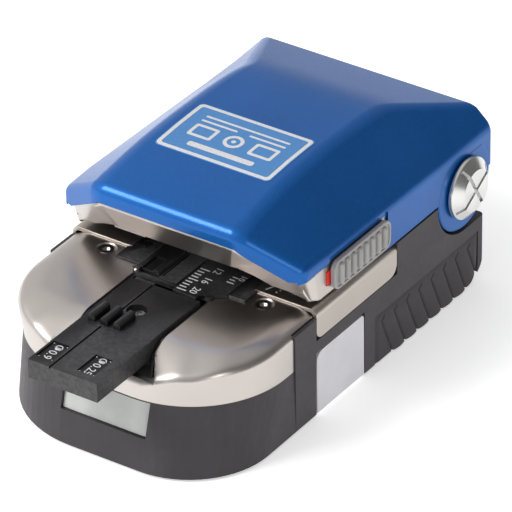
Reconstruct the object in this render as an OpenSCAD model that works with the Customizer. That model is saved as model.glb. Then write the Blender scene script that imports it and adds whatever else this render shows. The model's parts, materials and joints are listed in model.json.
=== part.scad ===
// Handheld optical-fibre cleaver, closed. Millimetres, +Z up, +Y to the hinge, -Y to the nose.
// The origin is on the surface it stands on, under the middle of its overall length and width.

/* [Body] */
// Width of the casing
body_w = 56.4; // [56:0.1:57]
// Y of the rear of the casing
rear_y = 49.5; // [49.5:0.1:50.5]
// Y of the front of the nose at the bottom
nose_y = -44.2; // [-44.6:0.1:-44]
// Height of the casing's lower edge above the surface
edge_z = 0.5; // [0.4:0.1:0.8]
// Height of the top of the deck
deck_z = 23.7; // [23.6:0.1:23.8]
// Height of the lower edge of the nose cover
band_z = 14.1; // [13.8:0.1:14.6]
// Wall thickness of the plastic casing
wall = 1.8; // [1.6:0.1:2]
// Thickness of the steel deck sheet
sheet = 0.8; // [0.6:0.1:1]

/* [Lid] */
// Height of the highest edge of the lid
lid_z = 44.3; // [44:0.1:45]
// Wall thickness of the lid cover
lid_wall = 1.4; // [1.2:0.1:1.6]
// Y of the hinge axis
hinge_y = 42.2; // [42:0.1:42.4]
// Z of the hinge axis
hinge_z = 24.1; // [24:0.1:24.2]
// Radius of the round hinge lobes of the lid
lobe_r = 9.4; // [9.2:0.1:9.5]
// Radius of the hinge shaft
shaft_r = 2.5; // [2:0.1:3]
// Radius of the slotted hinge caps
cap_r = 6.5; // [6:0.1:7]

/* [Cleaving] */
// X of the fibre
fibre_x = -2.8; // [-3:0.1:-2.5]
// Y of the plane in which the blade cuts
cleave_y = 2.6; // [2.4:0.1:2.8]
// Radius of the blade wheel
blade_r = 7.05; // [6.9:0.01:7.06]
// Travel of the blade carriage along X
carriage_travel = 12; // [10:0.5:12]
// Radius of the carriage rails
rail_r = 1.25; // [1:0.05:1.4]

/* [Fits] */
// Radial clearance of a running fit
run_gap = 0.04; // [0.02:0.01:0.08]
// Gap between parts that move past each other
gap = 0.3; // [0.25:0.05:0.3]

/* [Hidden] */
$fn = 48;
e = 0.01;                       // overshoot of a cut past a face
half_w = body_w / 2;
far = 200;

// Nose: plan of the D-shaped end at the bottom edge and at the band
nose_r0 = 17.4;
nose_r0_left = 22.9;            // the left corner is rounder at the bottom
nose_r1 = 20.6;
band_hw = half_w - 0.3;
band_y = nose_y + 3.3;
seam_y = -17.3;                 // joint between nose and housing
deck_front = -10;
cover_z = deck_z - 0.4;         // top of the nose cover
skirt_z = 17.2;                 // lower edge of the deck's side skirts
skirt_rear = 17.8;
bend = 1.6;                     // outer radius of the deck's rolled edges
housing_z = hinge_z - 0.1;      // top of the housing behind the skirts
rear_top_z = 14.3;              // top of the housing under the lobes
roof_z = 12.6;                  // underside of the housing's rear shelf
bulkhead_y = 30.8;
tail_r = 6;                     // rounding of the lower rear edge
side_in = half_w - wall;

// Channel for the fibre adapter through the nose cover
channel_hw = 9;
channel_mouth = 12;
mouth_y = -35.6;
bed_z = 18.4;
bed_t = 1.1;
bed_rear = -17.3;
bed_front = -40.3;

// Fibre adapter and its clamp flap
adapter_hw = 7.85;
adapter_y0 = -52.6;
adapter_z0 = bed_z + bed_t + 0.1;
adapter_screw_x = -0.4;
adapter_screw_y = -28;
flap_x = -8.3;
flap_z = deck_z + 0.35;
pin_r = 0.35;

// Places of screws and feet
foot_spots = [[-19, -27], [19, -27], [-21, 36], [21, 36]];
bottom_screw_spots = [[-20, -12], [8, -12], [-20, 28], [20, 28]];
cover_screw_x = 18.1;
cover_screw_y = -12.9;
centre_screw_spots = [[-12.2, -8], [12.2, 26], [-12.2, 26]];
tray_screw_spots = [[-11.5, -1], [11.5, -1], [-11.5, 27], [11.5, 27]];

// Scrap drawer: its panel in the side wall
drawer_y0 = -10;
drawer_y1 = 6.2;
drawer_top = 14.2;

// Lid outline
top_hw = 16.3;
edge_r = 1;                     // rounding of the lid's edges
lid_front = -18.9;
tray_roof = 31.4;               // underside of the tray
shaft_end = half_w + 1.4;

// Cleaving unit
pad_top = deck_z + 0.1;
axle_z = deck_z + 0.25 - blade_r;
axle_r = 1.5;
carriage_x = fibre_x - 6;       // centre of the carriage when the lid is shut
rail_z = 10.6;
rail_y = [-3.6, 8.8];
spring_x = -19.8;               // face of the left rail post
post_x = carriage_x + 7 + carriage_travel + 0.4;    // face of the right rail post
finger_y = 12.7;
finger_t = 1.6;
roller_x = fibre_x;
roller_z = 21.2;
roller_y0 = 16;
roller_y1 = 25;
module_mm = 0.4;
pinion_teeth = 12;
pitch_r = module_mm * pinion_teeth / 2;
roller_axle_r = 0.9;
idler_z = 26.5;
clamp_top = 36.6;
bush_r = 2.1;

// ---------- helpers ----------
function arc(cx, cy, r, a0, a1, n = 12) =
    [for (i = [0:n]) [cx + r * cos(a0 + (a1 - a0) * i / n), cy + r * sin(a0 + (a1 - a0) * i / n)]];

// Outline of the casing with the D-shaped nose, from the nose back to y1
function nose_outline(hw, y0, r_left, r_right, y1) = concat(
    [[hw, y1]],
    [[-hw, y1]],
    arc(-hw + r_left, y0 + r_left, r_left, 180, 270, 16),
    arc(hw - r_right, y0 + r_right, r_right, 270, 360, 16)
);

module nose_solid(inset, z0, z1) {
    // the walls lean in from the bottom edge to the band
    hull() {
        translate([0, 0, z0])
            linear_extrude(e)
                polygon(nose_outline(
                    half_w - inset, nose_y + inset, nose_r0_left - inset, nose_r0 - inset, seam_y
                ));
        translate([0, 0, z1 - e])
            linear_extrude(e)
                polygon(nose_outline(
                    band_hw - inset, band_y + inset, nose_r1 - inset, nose_r1 - inset, seam_y
                ));
    }
}

// Box from corner a to corner b
module block(a, b) {
    translate(a) cube(b - a);
}

// Cylinder along X, Y or Z through a point
module rod_x(x0, x1, y, z, r) {
    translate([x0, y, z]) rotate([0, 90, 0]) cylinder(r = r, h = x1 - x0);
}
module rod_y(x, y0, y1, z, r) {
    translate([x, y0, z]) rotate([-90, 0, 0]) cylinder(r = r, h = y1 - y0);
}

// Profile in the YZ plane, extruded along X
module side_prism(x0, x1, points) {
    translate([x0, 0, 0])
        rotate([90, 0, 90])
            linear_extrude(x1 - x0)
                polygon(points);
}
// Profile in the XZ plane, extruded along Y
module front_prism(y0, y1, points) {
    translate([0, y1, 0])
        rotate([90, 0, 0])
            linear_extrude(y1 - y0)
                polygon(points);
}

module both_sides() {
    children();
    mirror([1, 0, 0]) children();
}

// Coil spring along Z, one polyhedron swept along the helix
module coil(r, wire, length, turns) {
    sides = 6;
    steps = turns * 12;
    points = [for (i = [0:steps]) for (j = [0:sides - 1])
        let (a = i * 30, b = j * 360 / sides, q = r + wire * cos(b))
        [q * cos(a), q * sin(a), wire + (length - 2 * wire) * i / steps + wire * sin(b)]];
    walls = [for (i = [0:steps - 1]) for (j = [0:sides - 1])
        [i * sides + j, i * sides + (j + 1) % sides,
         (i + 1) * sides + (j + 1) % sides, (i + 1) * sides + j]];
    ends = [[for (j = [sides - 1:-1:0]) j], [for (j = [0:sides - 1]) steps * sides + j]];
    polyhedron(points, concat(walls, ends));
}

// ---------- casing ----------
module hinge_clearance(r, x0, x1) {
    rod_x(x0, x1, hinge_y, hinge_z, r);
    block([x0, hinge_y, rear_top_z], [x1, rear_y + 5, hinge_z + far]);
}

module housing() {
    corner = 1;
    profile = concat(
        [[seam_y, edge_z], [rear_y - tail_r, edge_z]],
        arc(rear_y - tail_r, edge_z + tail_r, tail_r, 280, 360, 6),
        [[rear_y, housing_z], [seam_y, housing_z]]
    );
    plan = concat(
        [[half_w, seam_y]],
        arc(half_w - corner, rear_y - corner, corner, 0, 90, 8),
        arc(-half_w + corner, rear_y - corner, corner, 90, 180, 8),
        [[-half_w, seam_y]]
    );
    inner = concat(
        [[seam_y - e, -e], [rear_y - tail_r, -e], [rear_y - tail_r, edge_z + wall]],
        arc(rear_y - tail_r, edge_z + tail_r, tail_r - wall, 280, 360, 6),
        [[rear_y - wall, roof_z], [bulkhead_y + 1.5, roof_z], [bulkhead_y + 1.5, 15], [bulkhead_y, 15]],
        [[bulkhead_y, far], [seam_y - e, far]]
    );
    color("#504c52") difference() {
        intersection() {
            side_prism(-half_w, half_w, profile);
            linear_extrude(housing_z) polygon(plan);
        }
        side_prism(-side_in, side_in, inner);
        block([-side_in, bulkhead_y - e, deck_z - 0.8], [side_in, far, far]);
        // step down at the rear and round recess for the lobes
        hinge_clearance(lobe_r + 0.4, -far, far);
        // seat of the deck and its skirts
        block([-far, deck_front - 0.1, deck_z - sheet - 0.05], [far, skirt_rear + 0.15, far]);
        block([-far, seam_y - e, 21.8], [far, deck_front, far]);
        both_sides() {
            block([half_w - sheet - 0.1, deck_front - 0.15, skirt_z - 0.15], [far, skirt_rear + 0.15, far]);
            block([side_in - e, deck_front - 0.1, deck_z - bend], [far, skirt_rear + 0.15, far]);
        }
        // seat of the hinge block
        block([-21.7, 33.3, rear_top_z], [21.7, far, far]);
        // recesses of the rubber grips
        both_sides() block([half_w - 1.2, 10, -e], [far, 47.2, 11.4]);
        // opening of the scrap drawer
        block([side_in - e, drawer_y0 - gap, -e], [far, drawer_y1 + gap, drawer_top + gap]);
    }
}

module nose_shell() {
    win = [[-8.2, 6.9], [11.2, 13.9]];
    color("#504c52") difference() {
        nose_solid(0, edge_z, band_z);
        nose_solid(wall, edge_z - 1, band_z + 1);
        // window opening in the front wall
        block([win[0][0], nose_y - 1, win[0][1]], [win[1][0], band_y + 4, win[1][1]]);
    }
}

module bottom_cover() {
    t = 1.5;
    gap_r = wall + 0.75;
    foot_r = 3.25;
    color("#3c3a3e") difference() {
        linear_extrude_between(edge_z + 0.1, edge_z + 0.1 + t, concat(
            [[side_in - 0.2, rear_y - tail_r], [-side_in + 0.2, rear_y - tail_r]],
            arc(-half_w + nose_r0_left, nose_y + nose_r0_left, nose_r0_left - gap_r, 180, 270),
            arc(half_w - nose_r0, nose_y + nose_r0, nose_r0 - gap_r, 270, 360)
        ));
        // clear of the drawer
        block([12.4, drawer_y0 - gap, 0], [far, drawer_y1 + gap, 5]);
        for (p = foot_spots) translate([p[0], p[1], 0]) cylinder(r = foot_r, h = edge_z + 0.6);
        for (p = bottom_screw_spots) translate([p[0], p[1], -e]) cylinder(r = 1.1, h = 5);
        for (p = bottom_screw_spots) translate([p[0], p[1], -e]) cylinder(r = 2.1, h = edge_z + 0.9);
    }
}
module feet() {
    color("#2a2a2c")
        for (p = foot_spots)
            translate([p[0], p[1], 0]) {
                cylinder(r1 = 2.8, r2 = 3.2, h = 0.4);
                translate([0, 0, 0.4]) cylinder(r = 3.2, h = edge_z + 0.2);
            }
}

module socket_screw(head_r, head_h, shank_r, shank_h, hex_r) {
    // head up, underside of the head at z = 0
    difference() {
        union() {
            cylinder(r = head_r, h = head_h);
            translate([0, 0, -shank_h]) cylinder(r = shank_r, h = shank_h + e);
        }
        translate([0, 0, head_h * 0.45]) cylinder(r = hex_r, h = head_h, $fn = 6);
    }
}

module cross_screw(head_r, head_h, shank_r, shank_h) {
    slot = head_r * 0.26;
    difference() {
        union() {
            cylinder(r = head_r, h = head_h);
            translate([0, 0, -shank_h]) cylinder(r = shank_r, h = shank_h + e);
        }
        for (a = [0, 90])
            rotate([0, 0, a + 25])
                translate([-head_r * 0.62, -slot / 2, head_h * 0.4])
                    cube([head_r * 1.24, slot, head_h]);
    }
}

module bottom_screws() {
    color("silver")
        for (p = bottom_screw_spots)
            translate([p[0], p[1], edge_z + 0.9]) rotate([180, 0, 0]) cross_screw(1.9, 0.7, 0.95, 5.4);
}

module chassis() {
    floor_z = 4.8;
    floor_t = 2.4;
    post_top = deck_z - 1.1;
    color("#9a9c9e") difference() {
        union() {
            block([-24, -14, floor_z], [12.6, 31, floor_z + floor_t]);
            block([-24, 31 - e, floor_z], [24, 46.5, floor_z + floor_t]);
            block([12.6 - e, 20, floor_z], [24, 31, floor_z + floor_t]);
            block([12.6 - e, -15, floor_z], [21, -10.7, floor_z + floor_t]);
            block([-24, -15, floor_z], [-14, -14 + e, floor_z + floor_t]);
            // posts of the nose cover's screws
            for (s = [-1, 1])
                translate([s * cover_screw_x, cover_screw_y, floor_z])
                    cylinder(r = 2.1, h = cover_z - 2 - floor_z);
            // rail posts
            block([spring_x - 2.2, -7, floor_z], [spring_x, 12, post_top]);
            block([post_x, -7, floor_z], [post_x + 2, 12, 15]);
            block([post_x, 9.8, floor_z], [post_x + 2, 12, post_top]);
            block([post_x, -7, floor_z], [post_x + 2, -5.2, post_top]);
            // pillars under the hinge block
            both_sides() block([14, 33.6, floor_z], [20.6, 45, roof_z]);
            // posts under the deck's rear edge
            both_sides() block([20, 27.6, floor_z], [24, 30.6, deck_z - sheet]);
            // screw bosses
            for (p = bottom_screw_spots) translate([p[0], p[1], 2.2]) cylinder(r = 2.2, h = 4);
        }
        for (y = rail_y) rod_x(-far, far, y, rail_z, rail_r);
        for (p = bottom_screw_spots) translate([p[0], p[1], -e]) cylinder(r = 1, h = 6.6);
        for (s = [-1, 1]) translate([s * cover_screw_x, cover_screw_y, 16]) cylinder(r = 0.9, h = far);
    }
}

module hinge_block() {
    r = 9;
    hw = 21.6;
    web = [33.4, 45.4];
    pocket = 6.4;
    color("#504c52") difference() {
        union() {
            rod_x(-hw, hw, hinge_y, hinge_z, r);
            block([-hw, web[0], rear_top_z], [hw, web[1], hinge_z]);
        }
        rod_x(-far, far, hinge_y, hinge_z, shaft_r);
        // pocket of the lid spring
        rod_x(-pocket, pocket, hinge_y, hinge_z, 5.6);
        block([-pocket, hinge_y - 5.6, hinge_z], [pocket, hinge_y + 2, hinge_z + far]);
    }
}

module nose_cover() {
    t = 1;
    slope_y = -32.6;            // where the top turns down towards the nose
    front_drop = 5.9;
    module body(inset, drop) {
        difference() {
            linear_extrude(cover_z - drop)
                polygon(nose_outline(
                    band_hw - inset, band_y + inset, nose_r1 - inset, nose_r1 - inset, deck_front - 0.1
                ));
            // the top slopes down to the front
            side_prism(-far, far, [
                [slope_y, cover_z - drop], [band_y - 1, cover_z - front_drop - 0.6 - drop],
                [band_y - 1, far], [slope_y, far]
            ]);
            // shoulder along the sides
            both_sides() front_prism(-far, far, [
                [band_hw - inset - 1.6, cover_z - drop], [band_hw - inset + e, cover_z - drop - 1.3],
                [far, cover_z - drop - 1.3], [far, far], [band_hw - inset - 1.6, far]
            ]);
        }
    }
    color("#b3aaa4") difference() {
        body(0, 0);
        difference() {
            body(t, t);
            // trough under the channel joins the two halves
            block([-channel_hw - 1.2, mouth_y + 3.5, bed_z - 1.1], [channel_hw + 1.2, -15, far]);
        }
        block([-far, -far, -e], [far, far, band_z + 0.05]);
        // behind the seam only the top remains
        block([-far, seam_y - 0.1, -e], [far, far, cover_z - t - 0.2]);
        // channel and its flared mouth
        translate([0, 0, bed_z])
            linear_extrude(far)
                polygon([
                    [-channel_hw, -14.4], [-channel_hw, mouth_y], [-channel_mouth, band_y + 0.6],
                    [-channel_mouth, -far], [channel_mouth, -far],
                    [channel_mouth, band_y + 0.6], [channel_hw, mouth_y], [channel_hw, -14.4]
                ]);
        // seats of the centre plate and the scale plate
        block([-14.95, -14.45, deck_z - 1.3], [14.95, far, far]);
        scale_outline(0.1, deck_z - 0.65, far);
        for (s = [-1, 1]) translate([s * cover_screw_x, cover_screw_y, 0]) {
            cylinder(r = 1, h = far);
            translate([0, 0, cover_z - 0.8]) cylinder(r = 1.95, h = far);
        }
    }
}

module cover_screws() {
    color("#b8b4ae")
        for (s = [-1, 1])
            translate([s * cover_screw_x, cover_screw_y, cover_z - 0.8])
                socket_screw(1.55, 0.7, 0.9 - e, 4, 0.8);
}

module adapter_bed() {
    hw = channel_hw - 0.05;
    flare_hw = channel_mouth - 0.9;
    inner = 8.35;
    top = cover_z - 0.5;
    color("#242326") difference() {
        union() {
            block([-hw, mouth_y, bed_z], [hw, bed_rear, bed_z + bed_t]);
            both_sides() block([inner, mouth_y, bed_z], [hw, bed_rear, top]);
            both_sides() linear_extrude_between(bed_z, top - 2.5, [
                [inner, mouth_y + e], [hw, mouth_y + e],
                [flare_hw, bed_front], [flare_hw - 0.7, bed_front]
            ]);
            linear_extrude_between(bed_z, bed_z + bed_t, [
                [-hw, mouth_y + e], [-flare_hw, bed_front], [flare_hw, bed_front], [hw, mouth_y + e]
            ]);
        }
        translate([adapter_screw_x, adapter_screw_y, 0]) cylinder(r = 0.9, h = far);
        // the walls follow the slope of the nose cover
        side_prism(-far, far, [[-32.6, top], [-42, top - 6.4], [-42, far], [-32.6, far]]);
    }
}
module linear_extrude_between(z0, z1, points) {
    translate([0, 0, z0]) linear_extrude(z1 - z0) polygon(points);
}

module deck_plate() {
    hw = half_w;
    rear = bulkhead_y - 0.1;
    color("#c3b8ab") difference() {
        union() {
            // flat sheet over the casing, narrower under the lid's side walls behind the skirts
            block([-hw + bend, deck_front, deck_z - sheet], [hw - bend, skirt_rear, deck_z]);
            block([-side_in + 0.2, skirt_rear - e, deck_z - sheet], [side_in - 0.2, rear, deck_z]);
            both_sides() {
                // rolled corner
                difference() {
                    rod_y(hw - bend, deck_front, skirt_rear, deck_z - bend, bend);
                    rod_y(hw - bend, -far, far, deck_z - bend, bend - sheet);
                    block([-far, -far, -far], [hw - bend, far, far]);
                    block([-far, -far, -far], [far, far, deck_z - bend]);
                }
                // skirt with rounded lower corners
                side_prism(hw - sheet, hw, concat(
                    [[deck_front, deck_z - bend]],
                    arc(deck_front + 1.8, skirt_z + 1.8, 1.8, 180, 270, 6),
                    arc(skirt_rear - 2.4, skirt_z + 2.4, 2.4, 270, 360, 6),
                    [[skirt_rear, deck_z - bend]]
                ));
            }
        }
        // opening of the centre plate
        block([-14.15, deck_front - 1, 0], [14.15, 30.15, far]);
        // slot of the lock hook
        block([22.1, -4.3, 0], [25.3, 9.6, far]);
    }
}

module centre_plate() {
    top = deck_z;
    t = 1;
    color("#262528") difference() {
        union() {
            linear_extrude_between(top - t, top, [
                [-14, 30], [-14, -9.9], [-14.8, -10.5], [-14.8, -14.3], [-8.95, -14.3],
                [-8.95, bed_rear + 0.1], [8.95, bed_rear + 0.1],
                [8.95, -14.3], [14.8, -14.3], [14.8, -10.5], [14, -9.9], [14, 30]
            ]);
            // raised guide beside the fibre groove
            block([-3.2, -17, top - 0.5], [0.9, -6.5, top + 0.35]);
            // lugs of the clamp pin
            for (y = [-17.1, -6.5])
                block([-8.95, y, top - 0.7], [-7.6, y + 0.6, flap_z + 0.65]);
        }
        rod_y(flap_x, -18, -5, flap_z, pin_r);
        // fibre groove
        block([fibre_x - 0.15, -16, top + 0.1], [fibre_x + 0.15, -6, top + 1]);
        // blade slot
        block([-13.6, cleave_y - 0.85, 0], [8, cleave_y + 0.85, far]);
        // pad windows
        block([-7.5, -4, 0], [1.9, 0.2, far]);
        block([-7.5, 5, 0], [1.9, 9.2, far]);
        // slot of the drive finger
        block([-2.1, 10.9, 0], [6.2, 14.8, far]);
        // roller window
        block([-5.8, 15.6, 0], [0.2, 27.7, far]);
        // seat of the adapter clamp
        block([-9.3, -16.5, top - 0.6], [-3.3, -6.5, far]);
        // seat of the scale plate
        scale_outline(0.05, top - 0.6, far);
        for (p = centre_screw_spots) translate([p[0], p[1], 0]) cylinder(r = 0.75, h = far);
        for (p = centre_screw_spots) translate([p[0], p[1], top - 0.45]) cylinder(r = 1.35, h = 5);
    }
}

module centre_screws() {
    color("#3a393c")
        for (p = centre_screw_spots)
            translate([p[0], p[1], deck_z - 0.45]) cross_screw(1.25, 0.4, 0.75 - e, 3);
}

module scale_outline(grow, z0, z1) {
    linear_extrude_between(z0, z1, [
        [1.3 - grow, bed_rear + 0.1 - 2 * grow], [7.6, bed_rear + 0.1 - 2 * grow],
        [11.1 + grow, -14.5 - grow], [11.1 + grow, -4 + grow], [1.3 - grow, -4 + grow]
    ]);
}

module scale_plate() {
    color("#1f1e21") union() {
        scale_outline(0, deck_z - 0.58, deck_z + 0.2);
        // tongue that reaches over the rear of the channel
        linear_extrude_between(deck_z - 0.3, deck_z + 0.2, [
            [1.3, bed_rear + 0.2], [1.3, -18.6], [6.7, -18.9], [6.7, -18], [7.6, bed_rear + 0.2]
        ]);
    }
}

module grip() {
    ribs = 8;
    pitch = 4.4;
    lean = 23;                  // slant of a rib from the vertical
    bulge = 0.55;
    x0 = half_w - 1.15;
    profile = concat(
        [[10.1, edge_z]],
        [[rear_y - 7.4, edge_z]],
        arc(rear_y - 2.4 - 5.6, edge_z + 5.6, 5.6, 285, 360, 6),
        [[rear_y - 2.4, 11.3], [10.1, 11.3]]
    );
    color("#48464a") intersection() {
        union() {
            side_prism(x0, half_w, profile);
            // overlapping slanted scales, each proud at its front edge
            for (i = [0:ribs - 1])
                translate([half_w - 0.6, 12.6 + pitch * i, 9.3])
                    rotate([lean, 0, 0])
                        rotate([0, 0, 4])
                            translate([0, 0, -12])
                                cube([0.6 + bulge * 0.7, pitch * 1.1, 12]);
        }
        side_prism(x0, half_w + bulge + 1, profile);
    }
}
module grip_right() { grip(); }
module grip_left() { mirror([1, 0, 0]) grip(); }

module front_window() {
    color("#dfe6df") difference() {
        intersection() {
            nose_solid(0.7, edge_z, band_z);
            block([-8.1, -far, 7], [11.1, band_y + 3, 13.8]);
        }
        nose_solid(1.7, edge_z - 1, band_z + 1);
    }
}

// ---------- fibre adapter ----------
module adapter_body() {
    ribs_x = [-5.5, -2.6, 0.3];
    color("#2b2a2e") difference() {
        union() {
            block([-adapter_hw, adapter_y0, adapter_z0], [adapter_hw, -19.1, deck_z]);
            block([-adapter_hw, -19.2, adapter_z0], [-3.5, bed_rear - 0.2, deck_z - 0.8]);
            for (x = ribs_x) {
                rod_y(x, -35.6, -30.5, deck_z + 0.8, 0.8);
                block([x - 0.8, -35.6, deck_z - 1], [x + 0.8, -30.5, deck_z + 0.8]);
            }
        }
        // fibre groove
        block([fibre_x - 0.25, -far, deck_z - 0.4], [fibre_x + 0.15, -36, far]);
        block([fibre_x - 0.25, -30.2, deck_z - 0.4], [fibre_x + 0.15, -19, far]);
        // label pockets
        block([-7.4, -50.6, deck_z - 0.3], [-3.7, -44.9, far]);
        block([1.95, -50.6, deck_z - 0.3], [5.75, -44.4, far]);
        // screw well
        translate([adapter_screw_x, adapter_screw_y, deck_z - 2]) cylinder(r = 2, h = 5);
        translate([adapter_screw_x, adapter_screw_y, 0]) cylinder(r = 0.9, h = far);
        // slot that stiffens the flared tail
        block([-adapter_hw - 1, -44, adapter_z0 - 1], [-adapter_hw + 0.8, -40, adapter_z0 + 0.8]);
    }
}

module adapter_screw() {
    color("#c9c7c2")
        translate([adapter_screw_x, adapter_screw_y, deck_z - 2])
            cross_screw(1.75, 0.9, 0.9 - e, 3.2);
}

module clamp_pin() {
    color("#b9b7b2") rod_y(flap_x, -17.1, -5.9, flap_z, pin_r);
}

module adapter_clamp() {
    y0 = -16.2;
    y1 = -6.8;
    color("#2b2a2e") difference() {
        union() {
            rod_y(flap_x, y0, y1, flap_z, 0.65);
            block([flap_x, y0, flap_z - 0.55], [-3.5, y1, flap_z + 0.65]);
        }
        rod_y(flap_x, -far, far, flap_z, pin_r + run_gap);
        // relief that leaves a step along the free edge
        block([-7.3, y0 - 1, flap_z + 0.3], [-4.9, y0 + 4.6, far]);
    }
}

// ---------- cleaving unit ----------
module pad_beds() {
    color("#8f9092") {
        block([-8.6, -4.4, deck_z - 3.4], [3, -0.1, deck_z - 1.05]);
        block([-8.6, 5.3, deck_z - 3.4], [3, 9.6, deck_z - 1.05]);
    }
}

module lower_pads() {
    color("#3f6f63") {
        block([-7.3, -3.8, deck_z - 1.04], [1.7, 0, pad_top]);
        block([-7.3, 5.2, deck_z - 1.04], [1.7, 9, pad_top]);
    }
}

module rails() {
    color("silver") for (y = rail_y) rod_x(spring_x - 2.6, 13, y, rail_z, rail_r);
}

module blade_carriage() {
    cx = carriage_x;
    color("#a7a9ab") difference() {
        union() {
            block([cx - 7, -6.2, 7.6], [cx + 7, 11.4, 13.4]);
            // cheeks that carry the blade axle
            for (y = [-1.4, 5.2]) {
                block([cx - 3.4, y, 13.4 - e], [cx + 3.4, y + 1.6, axle_z]);
                rod_y(cx, y, y + 1.6, axle_z, 3.4);
            }
            // arm to the rear
            block([cx - 1.5, 11.4 - e, 10.6], [cx + 1.5, 27.4, 13.2]);
            // tab that the drive finger pushes
            block([cx + 5, 10.2, 13.4 - e], [cx + 7, 14.2, 21]);
            block([cx + 5, 11.4 - e, 8.6], [cx + 7, 14.2, 13.4]);
        }
        for (y = rail_y) rod_x(-far, far, y, rail_z, bush_r);
        rod_y(cx, -far / 10, 6.9, axle_z, axle_r);
        // pocket for the blade and its ratchet wheel
        block([cx - 8, 0.4, 9.2], [cx + 8, 5, far]);
    }
}

module carriage_bushes() {
    cx = carriage_x;
    color("#b08d4f")
        for (y = rail_y)
            difference() {
                rod_x(cx - 7, cx + 7, y, rail_z, bush_r);
                rod_x(-far, far, y, rail_z, rail_r + run_gap);
            }
}

module blade_axle() {
    color("silver") rod_y(carriage_x, -1.6, 6.9, axle_z, axle_r);
}

module blade_wheel() {
    rim = 0.22;
    y = cleave_y - 0.45;
    color("#c7cbd0") difference() {
        union() {
            rod_y(carriage_x, y, y + 0.9, axle_z, blade_r - 0.6);
            // ground cutting edge
            translate([carriage_x, cleave_y, axle_z]) rotate([-90, 0, 0])
                rotate_extrude($fn = 96)
                    polygon([
                        [blade_r - 1.2, -0.45], [blade_r - 0.6, -0.45], [blade_r, -rim / 4],
                        [blade_r, rim / 4], [blade_r - 0.6, 0.45], [blade_r - 1.2, 0.45]
                    ]);
            rod_y(carriage_x, 0.6, y + e, axle_z, 2.8);
        }
        rod_y(carriage_x, -far, far, axle_z, axle_r + run_gap);
    }
}

module ratchet_wheel() {
    teeth = 16;
    r = 4.4;
    points = [for (i = [0:teeth - 1]) for (q = [0, 1])
        let (a = (i + q * 0.15) * 360 / teeth, s = q == 0 ? r - 0.6 : r)
        [s * cos(a), s * sin(a)]];
    color("#7d7f82") difference() {
        translate([carriage_x, cleave_y + 0.46, axle_z]) rotate([-90, 0, 0])
            linear_extrude(1.5) polygon(points);
        rod_y(carriage_x, -far, far, axle_z, axle_r + run_gap);
    }
}

module ratchet_pawl() {
    // leaf that turns the ratchet one tooth at the end of the carriage's travel
    y = cleave_y + 0.7;
    color("#8b8d90") {
        block([post_x + 0.05, -5, 15], [post_x + 1.95, 9.6, 15.9]);
        block([post_x + 0.1, y, 15.9 - e], [post_x + 1.6, y + 1.1, 19.2]);
        block([post_x - 2.2, y, 18.4], [post_x + 0.1 + e, y + 1.1, 19.2]);
    }
}

module carriage_spring() {
    color("#9fa1a3")
        translate([spring_x, rail_y[0], rail_z])
            rotate([0, 90, 0])
                coil(1.75, 0.2, carriage_x - 7 - spring_x, 6);
}

module tooth_row(x0, count, pitch, z, y0, y1, h) {
    // straight-sided teeth pointing up, each centred on its pitch
    for (i = [0:count - 1])
        front_prism(y0, y1, [
            [x0 + i * pitch - pitch * 0.30, z - h * 0.6], [x0 + i * pitch + pitch * 0.30, z - h * 0.6],
            [x0 + i * pitch + pitch * 0.10, z + h * 0.4], [x0 + i * pitch - pitch * 0.10, z + h * 0.4]
        ]);
}

module collector_rack() {
    cx = carriage_x;
    pitch = PI * module_mm;
    pitch_line = roller_z - pitch_r;
    color("#8f9193") union() {
        block([cx - 1.5, 25.6, 13.2], [cx + 1.5, 27.2, 15.5]);
        block([cx - 8, 25.6, 15.4], [cx + 8, 27.2, pitch_line - 0.5]);
        // a tooth stands half a pitch to each side of the pinion's lowest tooth
        tooth_row(roller_x - pitch / 2 - pitch * 10, 12, pitch, pitch_line - 0.05, 25.6, 27.2, 0.8);
    }
}

module roller_bracket() {
    ears = [14.95, 27.75];
    color("#9d9fa1") difference() {
        union() {
            for (y = ears)
                block([roller_x - 1.6, y, roller_z - 1.6], [roller_x + 1.6, y + 0.6, deck_z - 1.05]);
            both_sides_of(roller_x) block([2.9, ears[0], deck_z - 1.6], [3.6, ears[1] + 0.6, deck_z - 1.05]);
            for (y = ears) block([roller_x - 3.6, y, deck_z - 1.6], [roller_x + 3.6, y + 0.6, deck_z - 1.05]);
        }
        rod_y(roller_x, -far, far, roller_z, roller_axle_r);
    }
}
module both_sides_of(x) {
    translate([x, 0, 0]) both_sides() children();
}

module roller_axle() {
    color("silver") rod_y(roller_x, 14.6, 28.7, roller_z, roller_axle_r);
}

module drive_roller() {
    color("#3b3a3d") difference() {
        rod_y(roller_x, roller_y0, roller_y1, roller_z, 2.6);
        rod_y(roller_x, -far, far, roller_z, roller_axle_r + run_gap);
    }
}

module roller_pinion() {
    half = 360 / pinion_teeth;
    outer = pitch_r + 0.3;
    root = pitch_r - 0.5;
    // one tooth points straight down, towards the rack
    flank = [[-0.27, root], [-0.10, outer], [0.10, outer], [0.27, root]];
    points = [for (i = [0:pinion_teeth - 1]) for (q = flank)
        let (a = -90 + (i + q[0]) * half)
        [q[1] * cos(a), q[1] * sin(a)]];
    color("#c9c1ae") difference() {
        union() {
            front_prism(25.6, 27.2, [for (p = points) [roller_x + p[0], roller_z + p[1]]]);
            rod_y(roller_x, roller_y1 + 0.05, 25.6 + e, roller_z, 1.7);
        }
        rod_y(roller_x, -far, far, roller_z, roller_axle_r + run_gap);
    }
}

// ---------- scrap drawer ----------
module drawer_panel() {
    rear_r = 0.9;
    front_r = 2;
    color("#cfcfd6")
        side_prism(side_in, half_w, concat(
            [[drawer_y0, edge_z + 0.1], [drawer_y1, edge_z + 0.1]],
            arc(drawer_y1 - rear_r, drawer_top - rear_r, rear_r, 0, 90, 5),
            arc(drawer_y0 + front_r, drawer_top - front_r, front_r, 90, 180, 6)
        ));
}

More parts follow.
